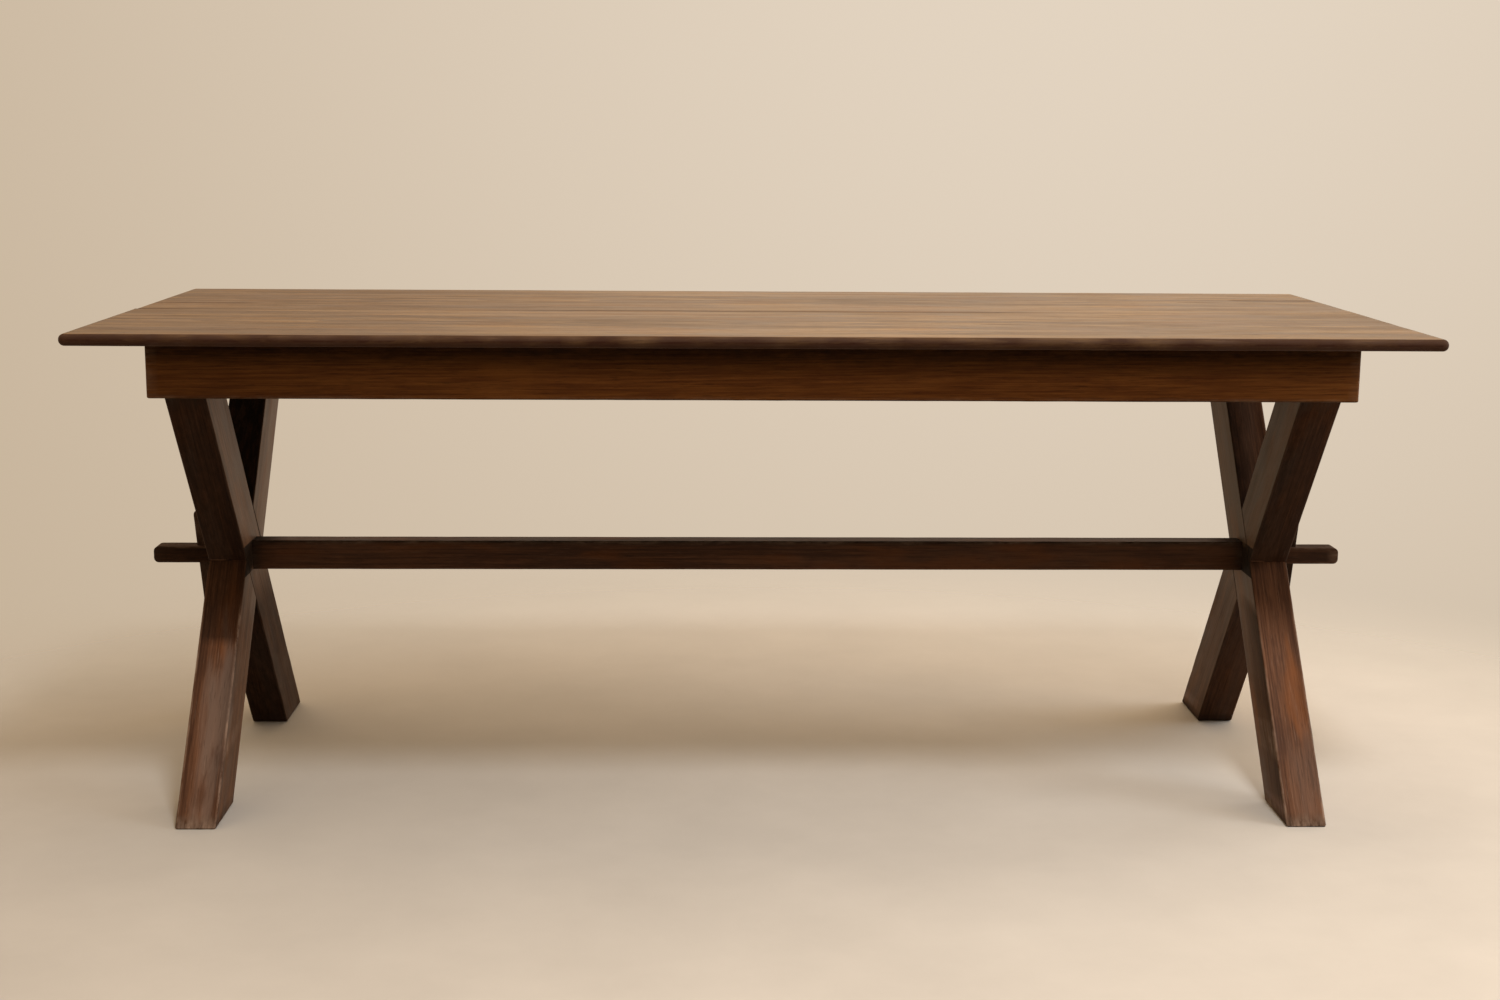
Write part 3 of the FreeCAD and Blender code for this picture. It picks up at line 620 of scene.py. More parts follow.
class TABLE_OT_top(bpy.types.Operator):
    """Builds the two boards of the top, with their round edges and end checks"""

    bl_idname = "table.top"
    bl_label = "Top boards"

    # End checks of the rear board: where each starts and ends along the table, and its distance
    # from the middle of the table.
    checks = ((-0.992, -0.825, 0.115), (0.992, 0.845, 0.252))
    check_depth = 3 * MM
    check_width = 2.4 * MM
    # Spacing of the points along a check, and how far it wanders off its line in what length.
    check_station = 12 * MM
    check_drift = 3 * MM
    check_cell = 40 * MM
    edge_radius = 8.5 * MM
    corner_radius = 10 * MM
    seam_arris = 1.2 * MM
    # How pale the arrises get, from wear and, along the round edge, a painted highlight.
    wear_and_highlight = 0.5

    # Polish on the round edge: how much there is, how much darker it is at the ends of the table, how
    # much painted shade darkens it low on the edge, how much it comes and goes in what length, and its
    # limit.
    edge_dirt = 0.83
    end_darkening = 0.1
    low_edge_shade = 0.09
    edge_change = 0.3
    edge_cell = 50 * MM
    most_edge_dirt = 0.98
    # The same in the seam: how far it reaches beside it, how much there is, how much it comes and
    # goes in what length, and its limits.
    seam_dirt = 14 * MM
    seam_mean = 0.45
    seam_change = 1.2
    seam_cell = 400 * MM
    seam_limits = (0.1, 0.8)
    # The seam was filled with less polish towards the right end: from here on, least there, and
    # how much less.
    clean_seam = (450 * MM, 720 * MM)
    clean_share = 0.85
    # Dirt beside an end check: how far it reaches, how much there is in the check, and how much of
    # that is lost over that distance.
    check_dirt = 5 * MM
    in_check = 0.97
    check_fade = 0.9
    # Painted shade: the top is darker, and with that duller, towards the left end: from here on, at
    # its darkest there, and how dark.
    dull_end = (-50 * MM, -650 * MM)
    dullest = 0.27

    def board(self, bm, low, high, seam):
        """One board with its round edge, planned as a block between two corners."""
        block(bm, low, high)
        outer = low.y if seam == high.y else high.y
        corners = [
            edge for edge in bm.edges
            if abs(direction(edge).z) > MOSTLY and abs(middle(edge).y - outer) < TOLERANCE
        ]
        bevel(bm, corners, self.corner_radius, 6)
        round_edges = [
            edge for edge in bm.edges
            if abs(direction(edge).z) < MOSTLY and abs(middle(edge).y - seam) > TOLERANCE
            and all(
                abs(abs(face.normal.z) - 1) < ACROSS or abs(face.normal.z) < ACROSS
                for face in edge.link_faces
            )
            and any(abs(face.normal.z) > MOSTLY for face in edge.link_faces)
        ]
        bevel(bm, round_edges, self.edge_radius, 6)
        seam_edges = [
            edge for edge in bm.edges
            if abs(middle(edge).y - seam) < TOLERANCE and abs(middle(edge).z - high.z) < TOLERANCE
            and abs(direction(edge).x) > MOSTLY
        ]
        bevel(bm, seam_edges, self.seam_arris, 2)

    def split(self, bm, start, end, place, top):
        """An end check: the middle row of a narrow strip sinks into the upper face."""
        half = self.check_width / 2
        offsets = (-self.check_dirt, -half, 0, half, self.check_dirt)
        slice_across(bm, 1, [place + offset for offset in offsets])
        slice_across(bm, 0, rows(min(start, end), max(start, end), self.check_station))
        for vert in bm.verts:
            along = (vert.co.x - end) / (start - end)
            in_strip = abs(vert.co.y - place) < half * 1.5 and abs(vert.co.z - top) < TOLERANCE
            if in_strip and 0 < along <= 1.1:
                drift = noise.noise(Vector((vert.co.x / self.check_cell, place, 0)))
                if abs(vert.co.y - place) < TOLERANCE:
                    vert.co.z -= self.check_depth * min(1, 2 * along)
                vert.co.y += self.check_drift * drift

    def dirt_and_shade_at(self, vert):
        """Dark polish has built up on the round edge, in the seam and in the checks, and painted shade
        darkens the lower part of the round edge and the left end of the top.
        """
        place = vert.co
        to_edge = min(TOP_HALF_WIDTH - abs(place.y), TOP_REACH - abs(place.x))
        round_edge = 0
        if to_edge < self.edge_radius - TOLERANCE:
            more = self.end_darkening * (place.x / TOP_REACH) ** 2
            # Painted shade low on the round edge.
            more += self.low_edge_shade * (TOP_LEVEL - place.z) / self.edge_radius
            more += self.edge_change * noise.noise(place / self.edge_cell)
            round_edge = min(self.most_edge_dirt, self.edge_dirt + more)
        change = self.seam_change * noise.noise(Vector((place.x / self.seam_cell, 2, 5)))
        filled = clamp(self.seam_mean + change, *self.seam_limits)
        filled *= 1 - self.clean_share * way_from(place.x, self.clean_seam)
        seam = filled * max(0, 1 - abs(place.y) / self.seam_dirt)
        near_check = 0
        if place.y > 0:
            for start, end, at in self.checks:
                if 0 < (place.x - end) / (start - end) < 1.2:
                    faded = self.check_fade * abs(place.y - at) / self.check_dirt
                    near_check = max(near_check, self.in_check - faded)
        # The left end of the top gets painted shade.
        return max(round_edge, seam, near_check, self.dullest * way_from(place.x, self.dull_end))

    def execute(self, context):
        sizes = context.scene.table_sizes
        for name, side in (("top_board_front", -1), ("top_board_rear", 1)):
            low, high = box_of(name)
            seam = high.y if side < 0 else low.y
            bm = bmesh.new()
            self.board(bm, low, high, seam)
            slice_across(bm, 0, rows(low.x, high.x, sizes.station))
            slice_across(bm, 1, rows(low.y, high.y, 2 * sizes.station))
            slice_across(bm, 1, [seam + side * self.seam_dirt * part for part in (0.25, 0.5, 1)])
            outer = high.y if side > 0 else low.y
            inset = self.edge_radius + SUPPORT
            slice_across(bm, 1, (outer - side * inset,))
            slice_across(bm, 0, (low.x + inset, high.x - inset))
            if side > 0:
                for start, end, place in self.checks:
                    self.split(bm, start, end, place, high.z)
            age(bm, self.dirt_and_shade_at, self.wear_and_highlight, fixed=lambda place: abs(place.y) < TOLERANCE)
            material = timber(
                f"{name}_rubbed_varnish", "top",
                (1, 0.01 * side, 0.03), (0.2 * side, 0.2 * side, 0.66), RUBBED_VARNISH,
            )
            add_piece(bm, f"{name}_timber", "table", material, "top_timber", name)
        return {"FINISHED"}


class TABLE_OT_aprons(bpy.types.Operator):
    """Builds the four boards of the frame under the top"""

    bl_idname = "table.aprons"
    bl_label = "Aprons"

    lower_arris = 3 * MM
    end_arris = 5 * MM
    # Groove for the buttons along the inner faces of the long aprons: how far its upper side is
    # under the top, its height, its depth and how far it runs from the middle of the table.
    groove_drop = 12 * MM
    groove_height = 8 * MM
    groove_depth = 9 * MM
    groove_reach = 820 * MM
    wear_and_highlight = 0.4
    # Painted shadow of the top's overhang: the upper part of the aprons is darker: how much at the
    # very top, how fast it fades on the way down, and its limit.
    upper_shade = 1.25
    dark_band = 46 * MM
    most_upper_shade = 0.86
    lower_arris_darkening = 0.7
    # Painted shade: the end aprons are darkened, and with that dulled, all over, as the side lamp
    # lights them more than the long aprons in the top's shadow.
    dull_ends = 0.45
    # Painted shade: the left end of each long apron is darker too, away from the light on the right:
    # from here on, darkest there, and how dark.
    dark_end = (-300 * MM, -800 * MM)
    end_darkening = 0.3

    def groove(self, bm, inside, inwards, top):
        """Sinks the groove for the buttons into a long apron's inner face."""
        upper = top - self.groove_drop
        lower = upper - self.groove_height
        slice_across(bm, 2, (lower, upper))
        slice_across(bm, 0, (-self.groove_reach, self.groove_reach))
        strip = [
            face for face in bm.faces
            if abs(middle(face).y - inside) < TOLERANCE and abs(face.normal.y) > ALONG
            and lower < middle(face).z < upper and abs(middle(face).x) < self.groove_reach
        ]
        push(bm, strip, (0, -inwards * self.groove_depth, 0))

    def execute(self, context):
        sizes = context.scene.table_sizes
        inner_face = abs(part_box("apron_rear")[0][1])
        for name in ("apron_front", "apron_rear", "apron_left", "apron_right"):
            low, high = box_of(name)
            is_long = name in ("apron_front", "apron_rear")
            along, across = (0, 1) if is_long else (1, 0)
            if not is_long:
                low.y, high.y = -inner_face, inner_face
            outside = low if low[across] < 0 else high
            bm = bmesh.new()
            block(bm, low, high)
            if is_long:
                ends = [
                    edge for edge in bm.edges
                    if abs(direction(edge).z) > MOSTLY
                    and abs(middle(edge).y - outside.y) < TOLERANCE
                ]
                bevel(bm, ends, self.end_arris, 4)
            lower = [
                edge for edge in bm.edges
                if abs(direction(edge).z) < MOSTLY and abs(middle(edge).z - low.z) < TOLERANCE
                and abs(middle(edge)[across] - outside[across]) < self.end_arris
                and not (is_long and abs(direction(edge).y) > 0.99)
            ]
            bevel(bm, lower, self.lower_arris, 3)
            if is_long:
                inwards = -math.copysign(1, outside.y)
                self.groove(bm, inwards * -inner_face, inwards, high.z)
            slice_across(bm, along, rows(low[along], high[along], sizes.station))
            slice_across(bm, 2, rows(low.z, high.z, sizes.station / 2))
            slice_across(bm, 2, (low.z + self.lower_arris + SUPPORT,))

            def dirt_and_shade_at(vert):
                """Painted shadow darkens the aprons high up, under the top, painted shade darkens the
                left ends and the end aprons, and they are darker along the lower arris.
                """
                # Painted shadow of the top's overhang.
                drop = (high.z - vert.co.z) / self.dark_band
                under_top = clamp(self.upper_shade - drop, high=self.most_upper_shade)
                is_low = vert.co.z < low.z + self.lower_arris * 0.9
                at_arris = self.lower_arris_darkening if is_low else 0
                # Painted shade at the left end and on the end aprons.
                at_end = self.end_darkening * way_from(vert.co.x, self.dark_end)
                dull = 0 if is_long else self.dull_ends
                return max(under_top, at_arris, at_end, dull)

            age(bm, dirt_and_shade_at, self.wear_and_highlight, fixed=lambda place: abs(place.z - high.z) < TOLERANCE)
            grain = (1, 0.006, 0.012) if is_long else (0.006, 1, 0.012)
            material = timber(
                f"{name}_brushed_varnish", "apron", grain, outside * 0.9, APRON_VARNISH,
            )
            add_piece(bm, f"{name}_timber", "table", material, "apron_timber", name)
        return {"FINISHED"}


class TABLE_OT_legs(bpy.types.Operator):
    """Builds the four legs, halved over each other at their crossings"""

    bl_idname = "table.legs"
    bl_label = "Legs"

    thickness = 62 * MM
    foot_chamfer = 3 * MM
    lap_easing = 1.8 * MM
    lap_dirt = 4 * MM
    tenon_thickness = 22 * MM
    tenon_span = (195 * MM, 273 * MM)
    tenon_height = 60 * MM
    rail_half_height = (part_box("stretcher")[1][2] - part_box("stretcher")[0][2]) / 2

    # How far the painted shade reaches round the crossing, and how far from it the painted shadow
    # under it starts to fade, the painted shade above it starts, and the painted shade low down is
    # reached.
    crossing_shade = 90 * MM
    under_reach = 120 * MM
    crease_reach = 25 * MM
    low_reach = 100 * MM
    # Painted shade round the foot, which faces down, dirt in the seams of the lap, and a darker strip
    # beside the front of the rail, which ends within this height.
    foot_shade = 0.85
    seam_dirt = 0.97
    beside_rail_dark = 0.93
    beside_rail_dark_fade = 2 * MM
    # The front and rear faces are darker near the arrises: how fast that grows towards them, and how
    # much of it the middle is spared.
    side_growth = 3
    side_spared = 0.4
    # How much less of the painted cool sheen there is low down.
    cool_sheen_lost = 0.6
    # Below this height the front arrises are pale from wear, and on the right front-foot leg from a
    # painted highlight; the other arrises are a little pale.
    pale_arris_height = 290 * MM
    least_pale_arris = 0.15

    # Leg: how it leans in the left trestle (1 is to the rear as it rises), whether its inner face
    # runs through, and whether it is turned half round to stand in the right trestle.
    legs = {
        "left_leg_rear_foot": (-1, True, False),
        "left_leg_front_foot": (1, False, False),
        "right_leg_front_foot": (-1, True, True),
        "right_leg_rear_foot": (1, False, True),
    }
    # How each leg has aged, and the light and shade painted on it: how hazy its varnish is, with a
    # painted sheen in the haze, and how orange it has become, how much painted shade it has above the
    # crossing and how much painted shadow just under it, over what length that shadow ends, how much
    # of the shade is spared towards the outer side of the trestle, how much of it the faces get that
    # look along the table and how much painted cool sheen they have, how much painted shade they get
    # low down, how much painted shade the face has that looks to the middle of the trestle, how much
    # darker its front arris is beside the inner face, how pale its front arrises are from wear and a
    # painted highlight, how much darker its front and rear faces are beside the arrises, and how far
    # the pattern of its grain is moved up.
    ageing = {
        "left_leg_rear_foot": {
            "haze_and_sheen": 0.4, "warm": 0.25, "above": 1.0, "under": 0.8, "fade": 14 * MM, "lightened": 0,
            "face": 0.08, "cool_sheen": 0.2, "low": 0.74, "inward_shade": 0.85, "arris": 0, "wear_and_highlight": 0.2,
            "sides": 0.15, "shift": 0,
        },
        "left_leg_front_foot": {
            "haze_and_sheen": 0.8, "warm": 0.4, "above": 1.0, "under": 0.86, "fade": 14 * MM, "lightened": 0,
            "face": 0.06, "cool_sheen": 0.2, "low": 0.38, "inward_shade": 0.98, "arris": 0, "wear_and_highlight": 1.0,
            "sides": 0.4, "shift": 45 * MM,
        },
        "right_leg_front_foot": {
            "haze_and_sheen": 0.3, "warm": 0.65, "above": 0.96, "under": 0.45, "fade": 90 * MM, "lightened": 0.9,
            "face": 0.2, "cool_sheen": 0.35, "low": 0.1, "inward_shade": 0.9, "arris": 0.7, "wear_and_highlight": 1.0,
            "sides": 0.1, "shift": -90 * MM,
        },
        "right_leg_rear_foot": {
            "haze_and_sheen": 0.4, "warm": 0.5, "above": 1.0, "under": 0.4, "fade": 90 * MM, "lightened": 0.25,
            "face": 0.26, "cool_sheen": 0.35, "low": 0.3, "inward_shade": 0.6, "arris": 0.7, "wear_and_highlight": 0.2,
            "sides": 0.15, "shift": 0,
        },
    }

    def shape(self, bm, lean, inner_through, inside, outside, top):
        """A leg of the left trestle. It is drawn flat as seen along the table, with x to the rear
        and y up, and given its thickness from the face that runs through."""
        half = LEG_HALF_WIDTH
        slope = lean * LEG_SLOPE
        thickness = inside - outside
        outline = [
            (-slope * CROSS_HEIGHT - half, 0),
            (-slope * CROSS_HEIGHT + half, 0),
            (slope * (top - CROSS_HEIGHT) + half, top),
            (slope * (top - CROSS_HEIGHT) - half, top),
        ]
        start, step = (inside, -thickness / 2) if inner_through else (outside, thickness / 2)
        bm.faces.new([bm.verts.new((y, z, start)) for y, z in outline])
        for side in (-half, half):
            cut_plane(bm, (side, CROSS_HEIGHT, 0), (1, slope, 0))

        def in_lap(item):
            """Whether an edge or face lies in the band of the other leg."""
            centre = middle(item)
            return abs(centre.x + slope * (centre.y - CROSS_HEIGHT)) < half - TOLERANCE

        def near_lap(face):
            """Whether a face reaches the square where the legs cross."""
            return any(
                abs(vert.co.x) + LEG_SLOPE * abs(vert.co.y - CROSS_HEIGHT) < half + TOLERANCE
                for vert in face.verts
            )

        for side in (-1, 1):
            cut_plane(bm, (side * TENON_HALF_WIDTH, 0, 0), (1, 0, 0), in_lap)
            cut_plane(bm, (0, CROSS_HEIGHT + side * TENON_HALF_HEIGHT, 0), (0, 1, 0), in_lap)
        hole = [
            face for face in bm.faces
            if abs(middle(face).x) < TENON_HALF_WIDTH
            and abs(middle(face).y - CROSS_HEIGHT) < TENON_HALF_HEIGHT
        ]
        bmesh.ops.delete(bm, geom=hole, context="FACES")
        push(bm, bm.faces[:], (0, 0, step), hollow=False)
        rest = [
            face for face in bm.faces
            if abs(middle(face).z - start - step) < TOLERANCE and not in_lap(face)
        ]
        push(bm, rest, (0, 0, step))

        along = Vector((slope, 1, 0)).normalized()

        def is_long_edge(edge, level):
            """Whether an edge is at a corner of the leg's section, at one level of the drawing."""
            centre = middle(edge)
            at_corner = abs(abs(centre.x - slope * (centre.y - CROSS_HEIGHT)) - half) < TOLERANCE
            at_level = abs(centre.z - level) < TOLERANCE
            return at_corner and at_level and abs(direction(edge).dot(along)) > 0.999

        arrises = [
            edge for edge in bm.edges
            if not in_lap(edge) and (is_long_edge(edge, inside) or is_long_edge(edge, outside))
        ]
        bevel(bm, arrises, bpy.context.scene.table_sizes.arris, 3)
        lap_lines = [edge for edge in bm.edges if in_lap(edge) and is_long_edge(edge, start)]
        bevel(bm, lap_lines, self.lap_easing, 1)

        for side in (-1, 1):
            cut_plane(bm, (side * (half - SUPPORT), CROSS_HEIGHT, 0), (1, -slope, 0))
            for off_seam in (-self.lap_dirt, self.lap_dirt):
                for way in (-slope, slope):
                    cut_plane(
                        bm, (side * (half + off_seam), CROSS_HEIGHT, 0), (1, way, 0), near_lap
                    )
        # Stand the drawing up: its x runs to the rear, its y up and its z along the table.
        upright = Matrix(((0, 0, 1), (1, 0, 0), (0, 1, 0)))
        bmesh.ops.transform(bm, matrix=upright.to_4x4(), verts=bm.verts[:])

        def on_top(face):
            """Whether a face is part of the leg's upper end."""
            return abs(middle(face).z - top) < TOLERANCE

        centre_x = (inside + outside) / 2
        half_tenon = self.tenon_thickness / 2
        slice_across(bm, 0, (centre_x - half_tenon, centre_x + half_tenon), on_top)
        slice_across(bm, 1, [lean * place for place in self.tenon_span], on_top)
        tenon = [
            face for face in bm.faces
            if on_top(face) and abs(middle(face).x - centre_x) < half_tenon
            and self.tenon_span[0] < lean * middle(face).y < self.tenon_span[1]
        ]
        push(bm, tenon, (0, 0, self.tenon_height))
        feet = [
            edge for edge in bm.edges
            if all(abs(vert.co.z) < TOLERANCE for vert in edge.verts) and len(edge.link_faces) == 2
            and any(abs(face.normal.z) < 0.9 for face in edge.link_faces)
        ]
        bevel(bm, feet, self.foot_chamfer, 1)

    def dirt_and_shade_at(self, vert, name, middle_x, lean, inner_lean):
        """Painted shade darkens the leg round the crossing and above it, under the top, with a painted
        shadow of the top's edge just under it, and round the foot; old polish darkens the seams of the
        lap. The faces that look along the table get less of that painted shade, but more low down, and
        the face that looks to the middle of the trestle gets painted shade of its own."""
        aged = self.ageing[name]
        place, normal = vert.co, vert.normal
        rise = place.z - CROSS_HEIGHT
        is_inner = abs(place.x) < middle_x
        is_face = abs(normal.x) > FACING
        is_side = abs(normal.y) > MOSTLY
        outwards = (abs(place.x) - middle_x) / self.thickness
        shade_kept = 1 - aged["lightened"] * clamp(0.5 + outwards)

        # Painted shade round the crossing and above it, and a painted shadow just under it, less of it
        # on the faces that look along the table.
        crossing = max(0, 1 - math.hypot(place.y, rise) / self.crossing_shade)
        under = aged["under"] * clamp((rise + self.under_reach) / aged["fade"])
        above = shade_kept * clamp((rise + self.crease_reach) / self.crease_reach, high=aged["above"])
        shade_share = aged["face"] + (1 - aged["face"]) * abs(normal.y)
        amounts = [max(crossing, under, above) * shade_share]
        # Painted shade low down on the faces that look along the table.
        if is_face:
            amounts.append(aged["low"] * clamp(-rise / self.low_reach))
        if is_side:
            near_arris = clamp(self.side_growth * abs(outwards) - self.side_spared)
            amounts.append(aged["sides"] * near_arris)
        # Painted shade on the face that looks to the middle of the trestle.
        if is_side and place.y * normal.y < 0:
            amounts.append(shade_kept * aged["inward_shade"])
        # Painted shade on the foot's chamfer, which faces down.
        if place.z < self.foot_chamfer + TOLERANCE:
            amounts.append(self.foot_shade)

        in_front = place.y < TOLERANCE - TENON_HALF_WIDTH
        beside_rail = abs(rise) < self.rail_half_height + TOLERANCE
        if is_inner and is_face and in_front and beside_rail:
            amounts.append(self.beside_rail_dark)
        to_front = place.y - lean * LEG_SLOPE * rise + LEG_HALF_WIDTH
        if is_inner and to_front < 0.9 * SUPPORT and abs(normal.x) > 0.8:
            amounts.append(aged["arris"])
        through_lean = inner_lean if is_inner else -inner_lean
        to_seam = abs(abs(place.y - through_lean * LEG_SLOPE * rise) - LEG_HALF_WIDTH)
        in_square = abs(place.y) + LEG_SLOPE * abs(rise) < LEG_HALF_WIDTH + 2 * self.lap_dirt
        if in_square and to_seam < self.lap_dirt / 2 and abs(normal.x) > 0.3:
            amounts.append(self.seam_dirt)
        return max(amounts)

    def cool_sheen_at(self, vert, name):
        """A painted cool sheen, for the side light and the grazing reflection, lies on the faces that
        look along the table, less of it low down.
        """
        if abs(vert.normal.x) < FACING:
            return 0
        low = clamp((CROSS_HEIGHT - vert.co.z) / self.low_reach)
        return self.ageing[name]["cool_sheen"] * (1 - self.cool_sheen_lost * low)

    def worn_and_highlight_at(self, vert, name):
        """The front arrises are pale low down: worn where feet and chairs knock them, and on the right
        trestle's front-foot leg also given a painted highlight.
        """
        is_rubbed = vert.co.z < self.pale_arris_height and vert.normal.y < 0
        return self.ageing[name]["wear_and_highlight"] if is_rubbed else self.least_pale_arris

    def execute(self, context):
        sizes = context.scene.table_sizes
        low, high = box_of("left_leg_rear_foot")
        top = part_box("bearer_left")[0][2]
        middle_x = abs(low.x + high.x) / 2
        marks = [CROSS_HEIGHT - self.crease_reach, CROSS_HEIGHT - self.under_reach]
        beside_rail = [
            CROSS_HEIGHT + side * (self.rail_half_height + gap)
            for side in (-1, 1) for gap in (0, self.beside_rail_dark_fade)
        ]
        through = (low.x + SUPPORT, *rows(low.x, high.x, sizes.station / 2), high.x - SUPPORT)
        for name, (lean, inner_through, turned) in self.legs.items():
            aged = self.ageing[name]
            bm = bmesh.new()
            self.shape(bm, lean, inner_through, high.x, low.x, top)
            slice_across(bm, 2, rows(0, top, sizes.station))
            slice_across(bm, 2, [*marks, marks[1] + aged["fade"], *beside_rail])
            slice_across(bm, 0, through, lambda face: middle(face).z < top - TOLERANCE)
            inner_lean = lean if inner_through else -lean
            if turned:
                half_turn = Matrix.Rotation(math.pi, 3, "Z")
                bmesh.ops.rotate(bm, cent=(0, 0, 0), matrix=half_turn, verts=bm.verts[:])
                lean = -lean
                inner_lean = -inner_lean
            age(
                bm, lambda vert: self.dirt_and_shade_at(vert, name, middle_x, lean, inner_lean),
                lambda vert: self.worn_and_highlight_at(vert, name),
                cool_sheen_at=lambda vert: self.cool_sheen_at(vert, name),
            )
            grain = Vector((0.004, lean * LEG_SLOPE, 1)).normalized()
            side = 1 if turned else -1
            pith = Vector((side * middle_x, lean * 0.05, CROSS_HEIGHT)) + aged["shift"] * grain
            material = timber(
                f"{name}_brushed_varnish", "leg", grain, pith,
                {**BRUSHED_VARNISH, "bloom_and_sheen": aged["haze_and_sheen"], "warm": aged["warm"]},
            )
            add_piece(bm, f"{name}_timber", "table", material, "leg_timber", name)
        return {"FINISHED"}


class TABLE_OT_stretcher(bpy.types.Operator):
    """Builds the long rail with its slotted through tenons"""

    bl_idname = "table.stretcher"
    bl_label = "Stretcher"

    shoulder = 820 * MM
    slot_start = TRESTLE_FACE - 6 * MM
    slot_half_width = 6.2 * MM
    end_radius = 8 * MM
    chamfer = 4 * MM
    # How far dirt reaches from the shoulders, how much darker the sides of the rail are, and how much
    # dirt there is on top of the tenons and on the rest of the left and the right one.
    shoulder_dirt = 50 * MM
    side_darkening = 0.52
    tenon_top_dirt = 0.6
    left_tenon_dirt = 0.84
    right_tenon_dirt = 0.7
    # How pale the arrises are: those of the right tenon with a painted highlight, and the lower edges
    # of the chamfers and the others with wear.
    right_tenon_highlight = 0.8
    chamfer_wear = 0.5
    least_pale_arris = 0.25

    def dirt_and_shade_at(self, vert):
        """Dirt gathers at the shoulders and on the tenons. The chamfers get full painted shade, for
        the dark underside of the table that they face, and the sides of the rail are darker than its
        top."""
        inside = self.shoulder - abs(vert.co.x)
        if inside < 0 and vert.normal.z > FACING:
            return self.tenon_top_dirt
        if inside < 0:
            return self.left_tenon_dirt if vert.co.x < 0 else self.right_tenon_dirt
        on_chamfer = 0.2 < abs(vert.normal.y) < 0.98 and vert.normal.z > ACROSS
        # The chamfers get full painted shade.
        if on_chamfer:
            return 1
        side = 0 if vert.normal.z > MOSTLY else self.side_darkening
        return max(side, 1 - inside / self.shoulder_dirt)

    def worn_and_highlight_at(self, vert):
        """The arrises of the right tenon get a pale painted highlight, and the lower edges of the
        chamfers are rubbed a little pale."""
        if vert.co.x > self.shoulder:
            return self.right_tenon_highlight
        under_chamfer = abs(vert.normal.y) > 0.8 and vert.normal.z > ACROSS
        return self.chamfer_wear if under_chamfer else self.least_pale_arris

    def slots(self, bm, bottom, top):
        """Cuts a slot through each tenon, its outer side sloping like the wedge that it holds."""
        low_end, high_end = wedge_reach(bottom), wedge_reach(top)
        places = (self.slot_start, low_end)
        slice_across(bm, 0, [side * place for side in (-1, 1) for place in places])
        slice_across(bm, 1, (-self.slot_half_width, self.slot_half_width))
        for side in (-1, 1):
            lids = [
                face for face in bm.faces
                if abs(face.normal.z) > ALONG and abs(middle(face).y) < self.slot_half_width
                and self.slot_start < side * middle(face).x < low_end
            ]
            bmesh.ops.delete(bm, geom=lids, context="FACES")
            rim = [edge for edge in bm.edges if edge.is_boundary]
            bmesh.ops.bridge_loops(bm, edges=rim)
        for vert in bm.verts:
            if abs(abs(vert.co.x) - low_end) < TOLERANCE and abs(vert.co.z - top) < TOLERANCE:
                vert.co.x = math.copysign(high_end, vert.co.x)

    def is_arris(self, edge):
        """Whether an edge is an outer corner of the rail or of a tenon."""
        if abs(direction(edge).y) >= ACROSS or edge.calc_face_angle() <= math.radians(60):
            return False
        centre = middle(edge)
        if abs(centre.x) > self.shoulder + TOLERANCE:
            return abs(abs(centre.y) - TENON_HALF_WIDTH) < TOLERANCE
        return abs(centre.x) < self.shoulder - TOLERANCE and abs(direction(edge).x) > ALONG

    def execute(self, context):
        sizes = context.scene.table_sizes
        low, high = box_of("stretcher")
        bottom = CROSS_HEIGHT - TENON_HALF_HEIGHT
        top = CROSS_HEIGHT + TENON_HALF_HEIGHT
        front, rear = -TENON_HALF_WIDTH, TENON_HALF_WIDTH
        bm = bmesh.new()
        block(bm, (low.x, front, bottom), (high.x, rear, top))
        ends = [edge for edge in bm.edges if abs(direction(edge).y) > MOSTLY]
        bevel(bm, ends, self.end_radius, 5)
        slice_across(bm, 0, (-self.shoulder, self.shoulder))
        bmesh.ops.recalc_face_normals(bm, faces=bm.faces[:])
        self.slots(bm, bottom, top)

        # The rail between the shoulders stands out from the tenons, first up and down, then
        # to the front and the rear.
        for axis, level, move in (
            (2, bottom, low.z - bottom), (2, top, high.z - top),
            (1, front, low.y - front), (1, rear, high.y - rear),
        ):
            side = [
                face for face in bm.faces
                if all(abs(vert.co[axis] - level) < TOLERANCE for vert in face.verts)
                and abs(middle(face).x) < self.shoulder
            ]
            push(bm, side, Vector([move * (number == axis) for number in range(3)]))
        bmesh.ops.recalc_face_normals(bm, faces=bm.faces[:])
        bm.normal_update()
        arrises = [edge for edge in bm.edges if self.is_arris(edge)]
        upper = [
            edge for edge in arrises
            if abs(middle(edge).z - high.z) < TOLERANCE and abs(middle(edge).x) < self.shoulder
        ]
        bevel(bm, [edge for edge in arrises if edge not in upper], sizes.arris, 3)
        bevel(bm, [edge for edge in upper if edge.is_valid], self.chamfer, 1)
        slice_across(bm, 0, rows(low.x, high.x, sizes.station))
        inset = self.chamfer + SUPPORT
        slice_across(bm, 2, (low.z + SUPPORT, bottom + SUPPORT, top - SUPPORT, high.z - inset))
        slice_across(bm, 1, (low.y + inset, high.y - inset, front + SUPPORT, rear - SUPPORT))
        bmesh.ops.dissolve_degenerate(bm, dist=TOLERANCE, edges=bm.edges[:])
        age(bm, self.dirt_and_shade_at, self.worn_and_highlight_at)
        material = timber(
            "stretcher_brushed_varnish", "leg",
            (1, 0.003, 0.004), (0, 0.03, CROSS_HEIGHT - 0.05), STRETCHER_VARNISH,
        )
        add_piece(bm, "stretcher_rail", "table", material, "stretcher_timber", "stretcher")
        return {"FINISHED"}


